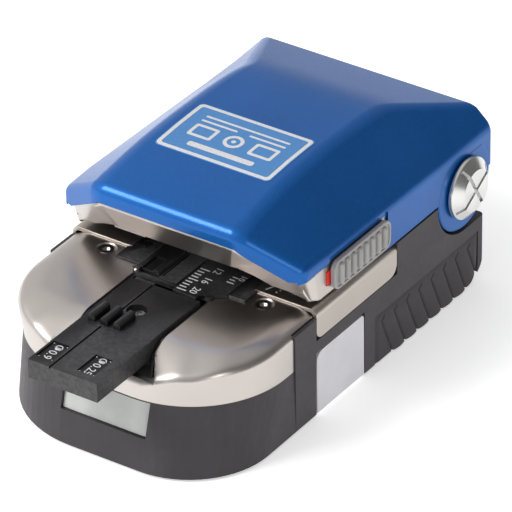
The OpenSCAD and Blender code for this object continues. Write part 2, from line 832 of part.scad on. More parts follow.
module scrap_bin() {
    t = 0.9;
    color("#b9bcc4") difference() {
        block([13.4, -9.6, edge_z + 0.1], [side_in, 5.8, 13.6]);
        block([13.4 + t, -9.6 + t, edge_z + 0.1 + t], [side_in - t, 5.8 - t, far]);
    }
}

// ---------- hinge ----------
module hinge_shaft() {
    color("silver") rod_x(-shaft_end, shaft_end, hinge_y, hinge_z, shaft_r);
}

module hinge_caps() {
    face_r = 4.5;
    inner = half_w + 0.1;
    rim = 0.9;
    bevel = 1.6;
    slot = 0.6;
    color("#d4d4d2") both_sides()
        difference() {
            translate([inner, hinge_y, hinge_z]) rotate([0, 90, 0]) {
                cylinder(r = cap_r, h = rim);
                translate([0, 0, rim]) cylinder(r1 = cap_r, r2 = face_r, h = bevel);
            }
            rod_x(-far, shaft_end, hinge_y, hinge_z, shaft_r);
            // crossed coin slots, sunk evenly into face and bevel
            for (a = [30.5, 120.5])
                translate([0, hinge_y, hinge_z]) rotate([a, 0, 0])
                    front_prism(-slot / 2, slot / 2, [
                        [inner + rim - 0.3, cap_r - 0.4], [inner + rim + bevel - 0.5, face_r - 0.1],
                        [inner + rim + bevel - 0.5, -face_r + 0.1], [inner + rim - 0.3, -cap_r + 0.4],
                        [far, -cap_r + 0.4], [far, cap_r - 0.4]
                    ]);
        }
}

module lid_spring() {
    color("#9fa1a3")
        for (x = [-5.2:1.3:5.2])
            translate([x, hinge_y, hinge_z]) rotate([0, 90, 0])
                rotate_extrude($fn = 36) translate([3.9, 0]) circle(r = 0.66, $fn = 14);
}

// ---------- lid ----------
// Corners of the cover: [half width, y, z]
cover_top = [
    [top_hw, lid_front, 41.1], [top_hw - 0.3, -3, 43.7], [top_hw - 0.5, 12, lid_z],
    [top_hw - 0.5, 26, 44], [top_hw - 0.6, 33.4, 43.1], [24.8, 51.5, 36.8]
];
cover_side = [[27.7, -13.2, 33.9], [half_w, 10, 33.4], [half_w, 48, 32.6], [27.2, 52.6, 33.2]];
cover_low = [
    [15.6, lid_front + 0.2, 37.7], [26.2, -12.9, 30.7], [half_w, -10, 24.3],
    [half_w, 42, 24.3], [27.2, 52, 24.3]
];
module cover_solid(inset) {
    r = edge_r;
    hull() both_sides() for (p = concat(cover_top, cover_side, cover_low))
        translate([
            p[0] - r - inset,
            p[1] + (p[1] < 20 ? 1 : -1) * (r + inset),
            p[2] + (p[2] < 25 ? r : -r - inset)
        ])
            sphere(r = r, $fn = 20);
}

// The space that the tray fills, up to its upper front edge
module tray_solid(grow) {
    r = 0.5 + grow;
    points = [
        [15.3, -18.4, 37.5], [25.6, -12.7, 30.5], [13, -15.5, tray_roof], [26.7, -10.2, 26],
        [27.6, -8.2, 33.4], [27.6, -8.2, 24.6], [27.6, 31, 33.4], [27.6, 31, 24.6], [15.3, 31, 37.5]
    ];
    hull() both_sides() for (p = points)
        translate([p[0] - 0.5, p[1] + (p[1] < 20 ? 0.5 : -0.5), p[2] + (p[2] < 26 ? 0.5 : -0.5)])
            sphere(r = r, $fn = 16);
}

module cover_shell() {
    knuckle = 22.2;
    color("#1f5c9e") difference() {
        union() {
            difference() {
                cover_solid(0);
                cover_solid(lid_wall);
                block([-far, -far, -far], [far, far, hinge_z + 0.2]);
                tray_solid(0.12);
                // open below the tray
                block([-26.3, -far, 0], [26.3, 31, 30]);
                // the sides stop higher over the tray's side walls
                block([26.3, -far, 0], [far, 15.6, 32]);
                block([-far, -far, 0], [-26.3, -2, 32]);
                // clear of the hinge block
                rod_x(-knuckle + 0.25, knuckle - 0.25, hinge_y, hinge_z, 9.35);
                block([-knuckle + 0.25, 36, 0], [knuckle - 0.25, far, 27.2]);
            }
            both_sides() intersection() {
                rod_x(knuckle, half_w - 0.35, hinge_y, hinge_z, lobe_r);
                block([0, 0, 0], [far, far, hinge_z + lobe_r]);
            }
        }
        both_sides() rod_x(knuckle - 1, far, hinge_y, hinge_z, shaft_r + run_gap);
    }
}

module label_plate() {
    slope = atan2(0.6, 15);
    color("#3f7fc0")
        translate([0, 4.7, 44.08]) rotate([slope, 0, 0])
            linear_extrude(0.25) square([26.4, 16.4], center = true);
}

module lid_tray() {
    idler_ears = [15.2, 25.3];
    color("#b7ada4") difference() {
        union() {
            difference() {
                tray_solid(0);
                // arched tunnel over the deck, open to front and rear
                front_prism(-far, far, [
                    [-26.1, 0], [-26.1, 25.8], [-14, tray_roof], [14, tray_roof], [26.1, 25.8], [26.1, 0]
                ]);
                // hollow above the tray's floor
                front_prism(-14.4, far, [
                    [-26, 27.6], [-14.3, tray_roof + 1.3], [14.3, tray_roof + 1.3], [26, 27.6],
                    [26, far], [-26, far]
                ]);
                // slots in the right side wall for the slider's tongue
                block([25, -4.4, 27.2], [far, 12.8, 29.8]);
            }
            // ears of the idler axle
            for (y = idler_ears)
                block([roller_x - 1.6, y, idler_z - 1.5], [roller_x + 1.6, y + 0.5, tray_roof + 0.6]);
        }
        rod_y(roller_x, -far, far, idler_z, roller_axle_r);
        // windows of the clamp and the anvil
        block([-6.3, -2.9, 0], [0.8, -0.7, far]);
        block([-6.3, 5.9, 0], [0.8, 8.1, far]);
        block([fibre_x - 2.2, cleave_y - 1.1, 0], [fibre_x + 2.2, cleave_y + 1.1, far]);
        // slot of the catch bar
        block([-18.7, -9.5, 0], [-11.3, -7.7, 32]);
        // way of the lock hook
        block([22.6, -4.2, 0], [25.4, 12.9, 30.6]);
        for (p = tray_screw_spots) translate([p[0], p[1], 0]) cylinder(r = 0.8, h = far);
    }
}

module tray_screws() {
    color("silver")
        for (p = tray_screw_spots)
            translate([p[0], p[1], tray_roof - 0.05]) rotate([180, 0, 0]) cross_screw(1.5, 0.7, 0.8 - e, 4);
}

module red_mark() {
    color("#e8382c") block([27.6, -5.9, 26.8], [27.75, -3.9, 29.9]);
}

module catch_bar() {
    color("#bdbcc0") block([-18.6, -9.4, 26.2], [-11.4, -7.8, 32]);
}

module drive_finger() {
    color("#c0bdb8") front_prism(finger_y, finger_y + finger_t, [
        [-1.5, tray_roof - 0.02], [-1.5, 20.6], [4.1, 15], [5.5, 15], [5.5, tray_roof - 0.02]
    ]);
}

module idler_axle() {
    color("silver") rod_y(roller_x, 14.9, 26.1, idler_z, roller_axle_r);
}

module idler_roller() {
    color("#3b3a3d") difference() {
        rod_y(roller_x, roller_y0, roller_y1, idler_z, 2.35);
        rod_y(roller_x, -far, far, idler_z, roller_axle_r + run_gap);
    }
}

module lid_springs() {
    color("#9fa1a3") for (y = [-1.8, 7])
        translate([fibre_x, y, clamp_top]) coil(1.2, 0.2, 5, 6);
}

module upper_clamp() {
    color("#a9abad") {
        // stems through the tray, head plates inside the lid
        for (y = [-2.7, 6.1]) {
            block([-6.1, y, 25.4], [0.6, y + 1.8, clamp_top]);
            block([-6.9, y - 0.6, 25.4], [1.4, y + 2.4, 27.6]);
        }
        block([-6.1, -2.7, clamp_top - 1.2], [0.6, 7.9, clamp_top]);
    }
}

module upper_pads() {
    color("#3f6f63") for (y = [-3.3, 5.5]) block([-6.9, y, pad_top + 0.25], [1.4, y + 3, 25.4]);
}

module anvil() {
    tip_z = deck_z + 0.65;
    head_z = 34.2;
    color("#d5d8da") front_prism(cleave_y - 0.7, cleave_y + 0.7, [
        [fibre_x - 0.5, tip_z], [fibre_x + 0.5, tip_z], [fibre_x + 1.9, 26.4], [fibre_x + 1.9, head_z],
        [fibre_x - 1.9, head_z], [fibre_x - 1.9, 26.4]
    ]);
}

module lock_slider() {
    y0 = -4.9;
    y1 = 14.6;
    z0 = 25.4;
    z1 = 31.7;
    r = 1.8;
    ribs = 8;
    color("#98969a") union() {
        side_prism(27.9, 28.9, concat(
            arc(y0 + r, z0 + r, r, 180, 270, 6), arc(y1 - r, z0 + r, r, 270, 360, 6),
            arc(y1 - r, z1 - r, r, 0, 90, 6), arc(y0 + r, z1 - r, r, 90, 180, 6)
        ));
        for (i = [0:ribs - 1])
            translate([28.9, y0 + 2.3 + i * (y1 - y0 - 4.6) / (ribs - 1), z0 + 0.7])
                cylinder(r = 0.62, h = z1 - z0 - 1.4, $fn = 24);
        // tongue through the tray's wall
        block([25.9, 0, 27.5], [27.9 + e, 8.4, 29.5]);
    }
}

module lock_hook() {
    color("#b4b1ac") union() {
        block([24.2, 0, 19.4], [25, 8.4, 29.5]);
        block([25 - e, 0, 27.5], [25.9, 8.4, 29.5]);
        block([22.5, 0, 19.4], [24.2 + e, 3, 20.6]);
    }
}

module lock_striker() {
    // bar under the deck, caught by the toe of the lock hook
    color("#a9abad") block([22.2, -6.4, deck_z - sheet - 1.4], [23.9, -1.3, deck_z - sheet]);
}

housing();
nose_shell();
bottom_cover();
feet();
bottom_screws();
chassis();
hinge_block();
nose_cover();
cover_screws();
adapter_bed();
deck_plate();
centre_plate();
centre_screws();
scale_plate();
grip_right();
grip_left();
front_window();
adapter_body();
adapter_screw();
clamp_pin();
pad_beds();
lower_pads();
rails();
hinge_shaft();
hinge_caps();
ratchet_pawl();
carriage_spring();
roller_bracket();
roller_axle();
lock_striker();
lid_spring();
cover_shell();
label_plate();
lid_tray();
tray_screws();
red_mark();
catch_bar();
drive_finger();
idler_axle();
lid_springs();
lock_slider();
lock_hook();
upper_clamp();
upper_pads();
anvil();
adapter_clamp();
drawer_panel();
scrap_bin();
blade_carriage();
carriage_bushes();
blade_axle();
collector_rack();
blade_wheel();
ratchet_wheel();
drive_roller();
roller_pinion();
idler_roller();
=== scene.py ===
import json
import math

import bmesh
import bpy
from mathutils import Matrix, Vector


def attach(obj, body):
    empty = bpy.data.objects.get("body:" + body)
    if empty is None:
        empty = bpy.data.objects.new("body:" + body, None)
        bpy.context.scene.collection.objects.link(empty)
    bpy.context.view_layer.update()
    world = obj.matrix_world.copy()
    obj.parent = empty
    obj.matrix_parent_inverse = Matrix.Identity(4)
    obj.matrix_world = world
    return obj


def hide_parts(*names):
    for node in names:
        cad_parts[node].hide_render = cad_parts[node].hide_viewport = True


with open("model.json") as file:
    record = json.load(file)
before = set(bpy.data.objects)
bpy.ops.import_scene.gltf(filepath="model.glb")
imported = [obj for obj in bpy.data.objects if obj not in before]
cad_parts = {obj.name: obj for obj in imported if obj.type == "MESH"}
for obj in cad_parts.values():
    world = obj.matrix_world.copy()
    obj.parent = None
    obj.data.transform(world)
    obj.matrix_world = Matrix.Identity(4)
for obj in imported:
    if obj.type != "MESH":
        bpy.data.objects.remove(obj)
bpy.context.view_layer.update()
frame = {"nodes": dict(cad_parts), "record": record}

nodes = frame["nodes"]
MM = 0.001


# ---------------------------------------------------------------- camera
def mm(*p):
    """A point given in millimetres, in metres."""
    return Vector(p) * MM


CAMERA_ANGLES = (34.4, 32.4, -0.8)      # azimuth, elevation and roll in degrees
CAMERA_DISTANCE = 1.044                 # m, from the point aimed at
LENS, SENSOR = 386.7, 36.0
NEAR_CORNER = (28.2, -10.0, 0.0)        # foot of the drawer panel's front edge
AIM_UP, AIM_LEFT = 30.39, 11.68         # mm, from the near corner to the point aimed at


def make_camera():
    azimuth, elevation, roll = (math.radians(a) for a in CAMERA_ANGLES)
    back = Vector((math.sin(azimuth) * math.cos(elevation),
                   -math.cos(azimuth) * math.cos(elevation), math.sin(elevation)))
    right = Vector((math.cos(azimuth), math.sin(azimuth), 0))
    up = back.cross(right)
    cam_right = right * math.cos(roll) + up * math.sin(roll)
    cam_up = up * math.cos(roll) - right * math.sin(roll)
    aim = mm(*NEAR_CORNER) + (cam_up * AIM_UP - cam_right * AIM_LEFT) * MM
    data = bpy.data.cameras.new("Camera")
    data.lens, data.sensor_width = LENS, SENSOR
    data.clip_start, data.clip_end = 0.05, 20.0
    camera = bpy.data.objects.new("Camera", data)
    turn = Matrix((cam_right, cam_up, back)).transposed().to_4x4()
    camera.matrix_world = Matrix.Translation(aim + back * CAMERA_DISTANCE) @ turn
    bpy.context.scene.collection.objects.link(camera)
    bpy.context.scene.camera = camera


make_camera()


# ---------------------------------------------------------------- materials
class Nodes:
    """Short calls for building one material's node tree. Object coordinates are in metres."""

    def __init__(self, name):
        self.mat = bpy.data.materials.new(name)
        self.mat.use_nodes = True
        self.tree = self.mat.node_tree
        self.bsdf = self.tree.nodes["Principled BSDF"]
        self.coords = self.add("ShaderNodeTexCoord").outputs["Object"]

    def add(self, kind, **values):
        node = self.tree.nodes.new(kind)
        for key, value in values.items():
            setattr(node, key, value)
        return node

    def link(self, a, b):
        self.tree.links.new(a, b)

    def scaled(self, scale):
        mapping = self.add("ShaderNodeMapping")
        mapping.inputs["Scale"].default_value = scale
        self.link(self.coords, mapping.inputs["Vector"])
        return mapping.outputs["Vector"]

    def noise(self, size_mm, detail=3.0, rough=0.5):
        node = self.add("ShaderNodeTexNoise")
        node.inputs["Scale"].default_value = 1000.0 / size_mm
        node.inputs["Detail"].default_value = detail
        node.inputs["Roughness"].default_value = rough
        self.link(self.coords, node.inputs["Vector"])
        return node.outputs["Fac"]

    def stretched(self, along, size_mm, long_mm):
        """Fine lines: noise drawn out along one axis."""
        scale = [1000.0 / size_mm] * 3
        scale[along] = 1000.0 / long_mm
        node = self.add("ShaderNodeTexNoise")
        node.inputs["Scale"].default_value = 1.0
        node.inputs["Detail"].default_value = 2.0
        self.link(self.scaled(scale), node.inputs["Vector"])
        return node.outputs["Fac"]

    def cells(self, size_mm):
        node = self.add("ShaderNodeTexVoronoi")
        node.inputs["Scale"].default_value = 1000.0 / size_mm
        self.link(self.coords, node.inputs["Vector"])
        return node.outputs["Color"]

    def ramp(self, fac, stops):
        """stops: (position, colour)"""
        node = self.add("ShaderNodeValToRGB")
        elements = node.color_ramp.elements
        while len(elements) < len(stops):
            elements.new(0.5)
        for element, (at, colour) in zip(elements, stops):
            element.position = at
            element.color = (*colour, 1.0)
        self.link(fac, node.inputs["Fac"])
        return node.outputs["Color"]

    def span(self, fac, low, high, low_in=0.0, high_in=1.0):
        node = self.add("ShaderNodeMapRange")
        limits = {"From Min": low_in, "From Max": high_in, "To Min": low, "To Max": high}
        for key, value in limits.items():
            node.inputs[key].default_value = value
        self.link(fac, node.inputs["Value"])
        return node.outputs["Result"]

    def mix(self, fac, a, b, blend="MIX"):
        node = self.add("ShaderNodeMix", data_type="RGBA", blend_type=blend)
        for socket, value in ((node.inputs[0], fac), (node.inputs[6], a), (node.inputs[7], b)):
            if isinstance(value, bpy.types.NodeSocket):
                self.link(value, socket)
            else:
                socket.default_value = value if isinstance(value, float) else (*value, 1.0)
        return node.outputs[2]

    def edge_highlight_and_wear(self, width_mm=0.35):
        """1 along exposed edges, broken up by noise, 0 on flat faces: the mask for a lighter edge colour,
        part wear, part painted highlight.
        """
        geometry = self.add("ShaderNodeNewGeometry")
        edge = self.span(geometry.outputs["Pointiness"], 0.0, 1.0, 0.515, 0.60)
        node = self.add("ShaderNodeMath", operation="MULTIPLY")
        self.link(edge, node.inputs[0])
        self.link(self.noise(width_mm * 4), node.inputs[1])
        return node.outputs[0]

    def colour(self, value):
        socket = self.bsdf.inputs["Base Color"]
        if isinstance(value, bpy.types.NodeSocket):
            self.link(value, socket)
        else:
            socket.default_value = (*value, 1.0)

    def rough(self, value):
        self.link(value, self.bsdf.inputs["Roughness"])

    def bump(self, *layers):
        """layers: (height socket, strength, depth in mm)"""
        normal = None
        for height, strength, depth in layers:
            node = self.add("ShaderNodeBump")
            node.inputs["Strength"].default_value = strength
            node.inputs["Distance"].default_value = depth * MM
            self.link(height, node.inputs["Height"])
            if normal is not None:
                self.link(normal, node.inputs["Normal"])
            normal = node.outputs["Normal"]
        self.link(normal, self.bsdf.inputs["Normal"])

    def set(self, **values):
        for key, value in values.items():
            self.bsdf.inputs[key.replace("_", " ")].default_value = value


def plastic(name, dark, light, rough=(0.42, 0.56), grain=0.22, depth=0.02, specular=0.45):
    """Moulded plastic: spark-eroded grain, faint mottling, and edges painted lighter, part wear and part
    painted highlight.
    """
    n = Nodes(name)
    mottle = n.noise(9.0, 4.0)
    base = n.ramp(mottle, [(0.3, dark), (0.7, light)])
    # lighter colour on the edges: part wear, part a painted highlight
    edge_highlight_tint = tuple(min(1, c * 1.5 + 0.02) for c in light)
    n.colour(n.mix(n.span(n.edge_highlight_and_wear(), 0.0, 0.35), base, edge_highlight_tint))
    n.rough(n.span(n.noise(1.6, 3.0), *rough))
    n.bump((n.noise(grain, 2.0, 0.7), 0.5, depth), (n.noise(4.0, 2.0), 0.12, 0.02))
    n.set(Specular_IOR_Level=specular)
    return n.mat


def metal(name, tint, rough=(0.22, 0.34), brush=None, grain=0.3, depth=0.004, variation=0.12):
    """Bare or plated metal, brushed along an axis if brush is 0, 1 or 2, else bead-blasted."""
    n = Nodes(name)
    darker = tuple(c * (1 - variation) for c in tint)
    n.colour(n.ramp(n.noise(14.0, 4.0), [(0.35, darker), (0.65, tint)]))
    lines = n.stretched(brush, 0.09, 14.0) if brush is not None else n.noise(grain, 2.0, 0.6)
    n.rough(n.span(lines, *rough))
    n.bump((lines, 0.35, depth), (n.noise(6.0, 2.0), 0.05, 0.01))
    n.set(Metallic=1.0)
    return n.mat


def blue_lacquer():
    """Deep metallic blue: aluminium flakes under a clear coat with a little orange peel."""
    n = Nodes("blue_lacquer")
    flakes = n.cells(0.16)
    sparkle = n.span(flakes, 0.0, 1.0)
    blues = [(0.35, (0.005, 0.108, 0.41)), (0.65, (0.007, 0.124, 0.46))]
    base = n.ramp(n.noise(22.0, 3.0), blues)
    n.colour(n.mix(n.span(sparkle, 0.0, 0.30, 0.55, 1.0), base, (0.012, 0.24, 0.62)))
    n.rough(n.span(flakes, 0.30, 0.46))
    n.bump((flakes, 0.10, 0.010), (n.noise(1.4, 2.0), 0.05, 0.01))
    n.set(Metallic=0.5, Specular_IOR_Level=0.2, Coat_Weight=0.35, Coat_Roughness=0.1,
          Coat_IOR=1.45)
    return n.mat


def rubber(name, dark, light):
    n = Nodes(name)
    n.colour(n.ramp(n.noise(6.0, 5.0), [(0.3, dark), (0.7, light)]))
    n.rough(n.span(n.noise(0.8, 3.0), 0.55, 0.72))
    n.bump((n.noise(0.16, 2.0, 0.7), 0.45, 0.02))
    n.set(Specular_IOR_Level=0.3, Sheen_Weight=0.08)
    return n.mat


def black_coat(name, dark, light, rough=(0.30, 0.44)):
    """Thin satin black paint on machined metal, with dust-fine specks."""
    n = Nodes(name)
    base = n.ramp(n.noise(7.0, 4.0), [(0.3, dark), (0.7, light)])
    specks = n.span(n.noise(0.35, 2.0, 0.8), 0.0, 1.0, 0.70, 0.80)
    # lighter grey along the edges: part worn paint, part a painted highlight
    base = n.mix(n.span(n.edge_highlight_and_wear(0.2), 0.0, 0.6), base, (0.16, 0.155, 0.16))
    n.colour(n.mix(n.span(specks, 0.0, 0.12), base, (0.25, 0.25, 0.25)))
    n.rough(n.span(n.noise(1.2, 3.0), *rough))
    n.bump((n.noise(0.12, 2.0, 0.7), 0.35, 0.01))
    n.set(Specular_IOR_Level=0.30)
    return n.mat


def clear_window():
    """Milky, glossy plastic; opaque, because only a pale grey shows in it."""
    n = Nodes("clear_window")
    n.colour(n.ramp(n.noise(5.0, 3.0), [(0.3, (0.40, 0.42, 0.40)), (0.7, (0.50, 0.52, 0.50))]))
    n.rough(n.span(n.noise(2.0, 2.0), 0.10, 0.2))
    n.bump((n.noise(1.5, 2.0), 0.04, 0.01))
    n.set(Specular_IOR_Level=0.6, Coat_Weight=0.6, Coat_Roughness=0.04)
    return n.mat


def printed(name, tint, rough=0.42):
    """Screen-printed ink, a little uneven in cover."""
    n = Nodes(name)
    n.colour(n.ramp(n.noise(0.5, 3.0), [(0.25, tuple(c * 0.86 for c in tint)), (0.6, tint)]))
    n.rough(n.span(n.noise(0.8), rough - 0.06, rough + 0.06))
    n.bump((n.noise(0.3, 2.0), 0.15, 0.004))
    return n.mat


MATERIALS = {
    "casing": plastic("casing_plastic", (0.040, 0.035, 0.040), (0.050, 0.044, 0.049),
                      specular=0.36),
    "grip": rubber("grip_rubber", (0.046, 0.042, 0.046), (0.058, 0.053, 0.058)),
    "steel": metal("bright_steel", (0.66, 0.65, 0.63), (0.16, 0.28), grain=0.12),
    "spring": metal("spring_steel", (0.42, 0.42, 0.42), (0.25, 0.40), brush=1),
    "cast": metal("cast_aluminium", (0.52, 0.53, 0.54), (0.42, 0.60), grain=0.35, depth=0.03),
    "turned": metal("turned_aluminium", (0.80, 0.80, 0.78), (0.20, 0.30), grain=0.2),
    "nickel": metal("satin_nickel", (0.60, 0.555, 0.525), (0.27, 0.37), grain=0.22,
                    depth=0.006, variation=0.06),
    # the deck: the satin nickel made darker and browner, as painted shade and a painted reflection of the
    # dark lid above it
    "deck": metal("deck_steel", (0.56, 0.51, 0.465), (0.34, 0.44), grain=0.16,
                  depth=0.006, variation=0.05),
    "black_plate": black_coat("black_plate", (0.0048, 0.0045, 0.0052), (0.0085, 0.008, 0.009)),
    "black_plastic": black_coat("black_plastic", (0.0068, 0.0064, 0.0074),
                                (0.0105, 0.010, 0.0115), (0.32, 0.44)),
    "window": clear_window(),
    "pad": rubber("pad_rubber", (0.03, 0.11, 0.085), (0.045, 0.15, 0.12)),
    "blue": blue_lacquer(),
    "label": printed("label_blue", (0.075, 0.27, 0.62)),
    "white": printed("white_ink", (0.80, 0.80, 0.82)),
    "red": printed("red_ink", (0.86, 0.035, 0.018)),
    "pale": plastic("light_grey_plastic", (0.72, 0.71, 0.75), (0.80, 0.79, 0.83),
                    (0.36, 0.48), depth=0.008),
    "slider": plastic("slider_plastic", (0.36, 0.345, 0.345), (0.42, 0.405, 0.405),
                      (0.36, 0.46), depth=0.008),
    "bronze": metal("sintered_bronze", (0.62, 0.45, 0.22), (0.35, 0.5), grain=0.15, depth=0.02),
    "blade": metal("ground_blade", (0.72, 0.74, 0.76), (0.10, 0.2), brush=0),
    "roller": rubber("roller_rubber", (0.02, 0.02, 0.022), (0.032, 0.032, 0.034)),
}
SLOT_MATERIAL = {
    "casing_plastic": "casing", "grip_rubber": "grip", "bright_steel": "steel",
    "spring_steel": "spring", "cast_aluminium": "cast", "machined_aluminium": "turned",
    "satin_nickel": "nickel", "deck_steel": "deck", "black_plate": "black_plate",
    "black_plastic": "black_plastic", "clear_window": "window", "pad_rubber": "pad",
    "blue_paint": "blue", "label_blue": "label", "red_print": "red",
    "light_grey_plastic": "pale", "slider_plastic": "slider", "bronze": "bronze",
    "blade_steel": "blade", "roller_rubber": "roller",
}
node_slot = {s["node"]: s["material_slot"] for s in frame["record"]["subparts"]}


# ---------------------------------------------------------------- CAD nodes that stay
COILS = ("lid_springs", "carriage_spring", "lid_spring")       # round wire, with no edges to soften
CAD_EDGE = 0.12                                                 # mm, rounding of CAD edges


def soften(obj):
    """Small rounded edges on a CAD node, through modifiers only."""
    weld = obj.modifiers.new("weld", "WELD")
    weld.merge_threshold = 1e-6
    bevel = obj.modifiers.new("bevel", "BEVEL")
    bevel.width, bevel.segments = CAD_EDGE * MM, 2
    bevel.limit_method, bevel.angle_limit = "ANGLE", math.radians(35)
    bevel.use_clamp_overlap = True
    bevel.harden_normals = True


for name, obj in nodes.items():
    obj.data.materials.clear()
    obj.data.materials.append(MATERIALS[SLOT_MATERIAL[node_slot[name]]])
    if name not in COILS:
        soften(obj)


# ---------------------------------------------------------------- mesh tools
def new_object(name, verts, faces):
    """An object from vertices in millimetres."""
    mesh = bpy.data.meshes.new(name)
    mesh.from_pydata([tuple(c * MM for c in v) for v in verts], [], faces)
    mesh.update()
    obj = bpy.data.objects.new(name, mesh)
    bpy.context.scene.collection.objects.link(obj)
    recalculate(obj)
    return obj


def recalculate(obj):
    work = bmesh.new()
    work.from_mesh(obj.data)
    bmesh.ops.recalc_face_normals(work, faces=work.faces)
    work.to_mesh(obj.data)
    work.free()


def bake(obj):
    """Makes the modifiers' result the object's own mesh."""
    bpy.context.view_layer.update()
    graph = bpy.context.evaluated_depsgraph_get()
    mesh = bpy.data.meshes.new_from_object(obj.evaluated_get(graph))
    old = obj.data
    obj.modifiers.clear()
    obj.data = mesh
    bpy.data.meshes.remove(old)
    return obj


def prism(name, outline, low, high, axis="Z"):
    """outline: points in the plane across the axis, as (X, Y), (Y, Z) for X or (X, Z) for Y."""
    place = {"Z": lambda a, b, h: (a, b, h), "X": lambda a, b, h: (h, a, b),
             "Y": lambda a, b, h: (a, h, b)}[axis]
    count = len(outline)
    verts = [place(a, b, low) for a, b in outline] + [place(a, b, high) for a, b in outline]
    faces = [tuple(range(count)), tuple(range(count, 2 * count))]
    faces += [(i, (i + 1) % count, count + (i + 1) % count, count + i) for i in range(count)]
    return new_object(name, verts, faces)


def rails_to_solid(name, verts):
    """Closed bar from cross-sections of four points each."""
    last = len(verts) - 4
    faces = [(0, 1, 2, 3), (last, last + 1, last + 2, last + 3)]
    for k in range(0, last, 4):
        faces += [(k + i, k + (i + 1) % 4, k + 4 + (i + 1) % 4, k + 4 + i) for i in range(4)]
    return new_object(name, verts, faces)


def box(name, a, b):
    return prism(name, [(a[0], a[1]), (b[0], a[1]), (b[0], b[1]), (a[0], b[1])], a[2], b[2])


def circle(cx, cy, r, count=48, start=0.0, end=360.0):
    closed = abs(end - start) >= 360
    steps = count if closed else count + 1
    return [(cx + r * math.cos(math.radians(start + (end - start) * i / count)),
             cy + r * math.sin(math.radians(start + (end - start) * i / count))) for i in range(steps)]


def rounded(x0, y0, x1, y1, r, steps=8):
    """Outline of a rectangle with rounded corners."""
    return (circle(x1 - r, y0 + r, r, steps, 270, 360) + circle(x1 - r, y1 - r, r, steps, 0, 90)
            + circle(x0 + r, y1 - r, r, steps, 90, 180) + circle(x0 + r, y0 + r, r, steps, 180, 270))


def lathe(name, profile, centre, axis="X", count=72):
    """profile: (radius, distance along the axis); turned about the axis through centre."""
    verts, faces = [], []
    for k in range(count):
        t = 2 * math.pi * k / count
        for r, h in profile:
            u, v = r * math.cos(t), r * math.sin(t)
            verts.append({"X": (h, centre[1] + u, centre[2] + v),
                          "Z": (centre[0] + u, centre[1] + v, h)}[axis])
    n = len(profile)
    for k in range(count):
        a, b = k * n, (k + 1) % count * n
        faces += [(a + i, a + i + 1, b + i + 1, b + i) for i in range(n - 1)]
    if profile[0][0] > 0.001:
        faces.append(tuple(k * n for k in range(count)))
    if profile[-1][0] > 0.001:
        faces.append(tuple(k * n + n - 1 for k in range(count)))
    obj = new_object(name, verts, faces)
    merge(obj)
    return obj


def merge(obj, distance=0.001):
    work = bmesh.new()
    work.from_mesh(obj.data)
    bmesh.ops.remove_doubles(work, verts=work.verts, dist=distance * MM)
    bmesh.ops.dissolve_degenerate(work, dist=distance * MM, edges=work.edges)
    bmesh.ops.recalc_face_normals(work, faces=work.faces)
    work.to_mesh(obj.data)
    work.free()


def combine(obj, others, operation):
    for other in others:
        modifier = obj.modifiers.new("bool", "BOOLEAN")
        modifier.operation, modifier.object, modifier.solver = operation, other, "EXACT"
        bake(obj)
        bpy.data.objects.remove(other)
    return obj


def cut(obj, *others):
    return combine(obj, others, "DIFFERENCE")


def join(obj, *others):
    return combine(obj, others, "UNION")


def round_edges(obj, width, segments=3, angle=30, weighted=False):
    bevel = obj.modifiers.new("bevel", "BEVEL")
    bevel.width, bevel.segments = width * MM, segments
    bevel.limit_method = "WEIGHT" if weighted else "ANGLE"
    bevel.angle_limit = math.radians(angle)
    bevel.use_clamp_overlap = True
    bevel.miter_outer = "MITER_ARC"
    return bake(obj)


def weigh_edges(obj, rule):
    """rule(a, b) gives the bevel weight of the edge between two points in millimetres."""
    work = bmesh.new()
    work.from_mesh(obj.data)
    layer = work.edges.layers.float.new("bevel_weight_edge")
    for edge in work.edges:
        a, b = (v.co / MM for v in edge.verts)
        edge[layer] = rule(a, b) if len(edge.link_faces) == 2 else 0.0
    work.to_mesh(obj.data)
    work.free()


def piece(obj, body, material, slot=None, nodes_replaced=(), angle=32):
    """Finishes a piece: smooth shading with crisp edges, material, body, replaced CAD nodes."""
    obj.data.materials.clear()
    obj.data.materials.append(MATERIALS[material])
    obj.data.shade_smooth()
    obj.data.set_sharp_from_angle(angle=math.radians(angle))
    weighted = obj.modifiers.new("weighted_normals", "WEIGHTED_NORMAL")
    weighted.keep_sharp = True
    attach(obj, body)
    if nodes_replaced:
        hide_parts(*nodes_replaced)
    return obj


def both_ways(points):
    """A half outline and its mirror image in X, as one closed outline."""
    return points + [(-x, y) for x, y in reversed(points)]


def smooth(t):
    t = max(0.0, min(1.0, t))
    return t * t * (3 - 2 * t)


def curve_at(table, y):
    """Linear interpolation through (y, value) pairs."""
    if y <= table[0][0]:
        return table[0][1]
    for (y0, v0), (y1, v1) in zip(table, table[1:]):
        if y <= y1:
            return v0 + (v1 - v0) * (y - y0) / (y1 - y0)
    return table[-1][1]


# ---------------------------------------------------------------- lid cover
HINGE_Y, HINGE_Z = 42.2, 24.1
LID_WALL = 1.5
SKIN_FOOT = 20.0                # the skin runs on below the cover's edge and is cut off there
LID_EDGE_Z = 24.3               # lower edge of the side walls
PLATE_TOP = 31.85               # upper edge of the slider's pocket
CROWN = [(-8, 43.15), (-2, 43.85), (4, 44.2), (10, 44.3), (18, 44.25)]  # (y, z) under the label


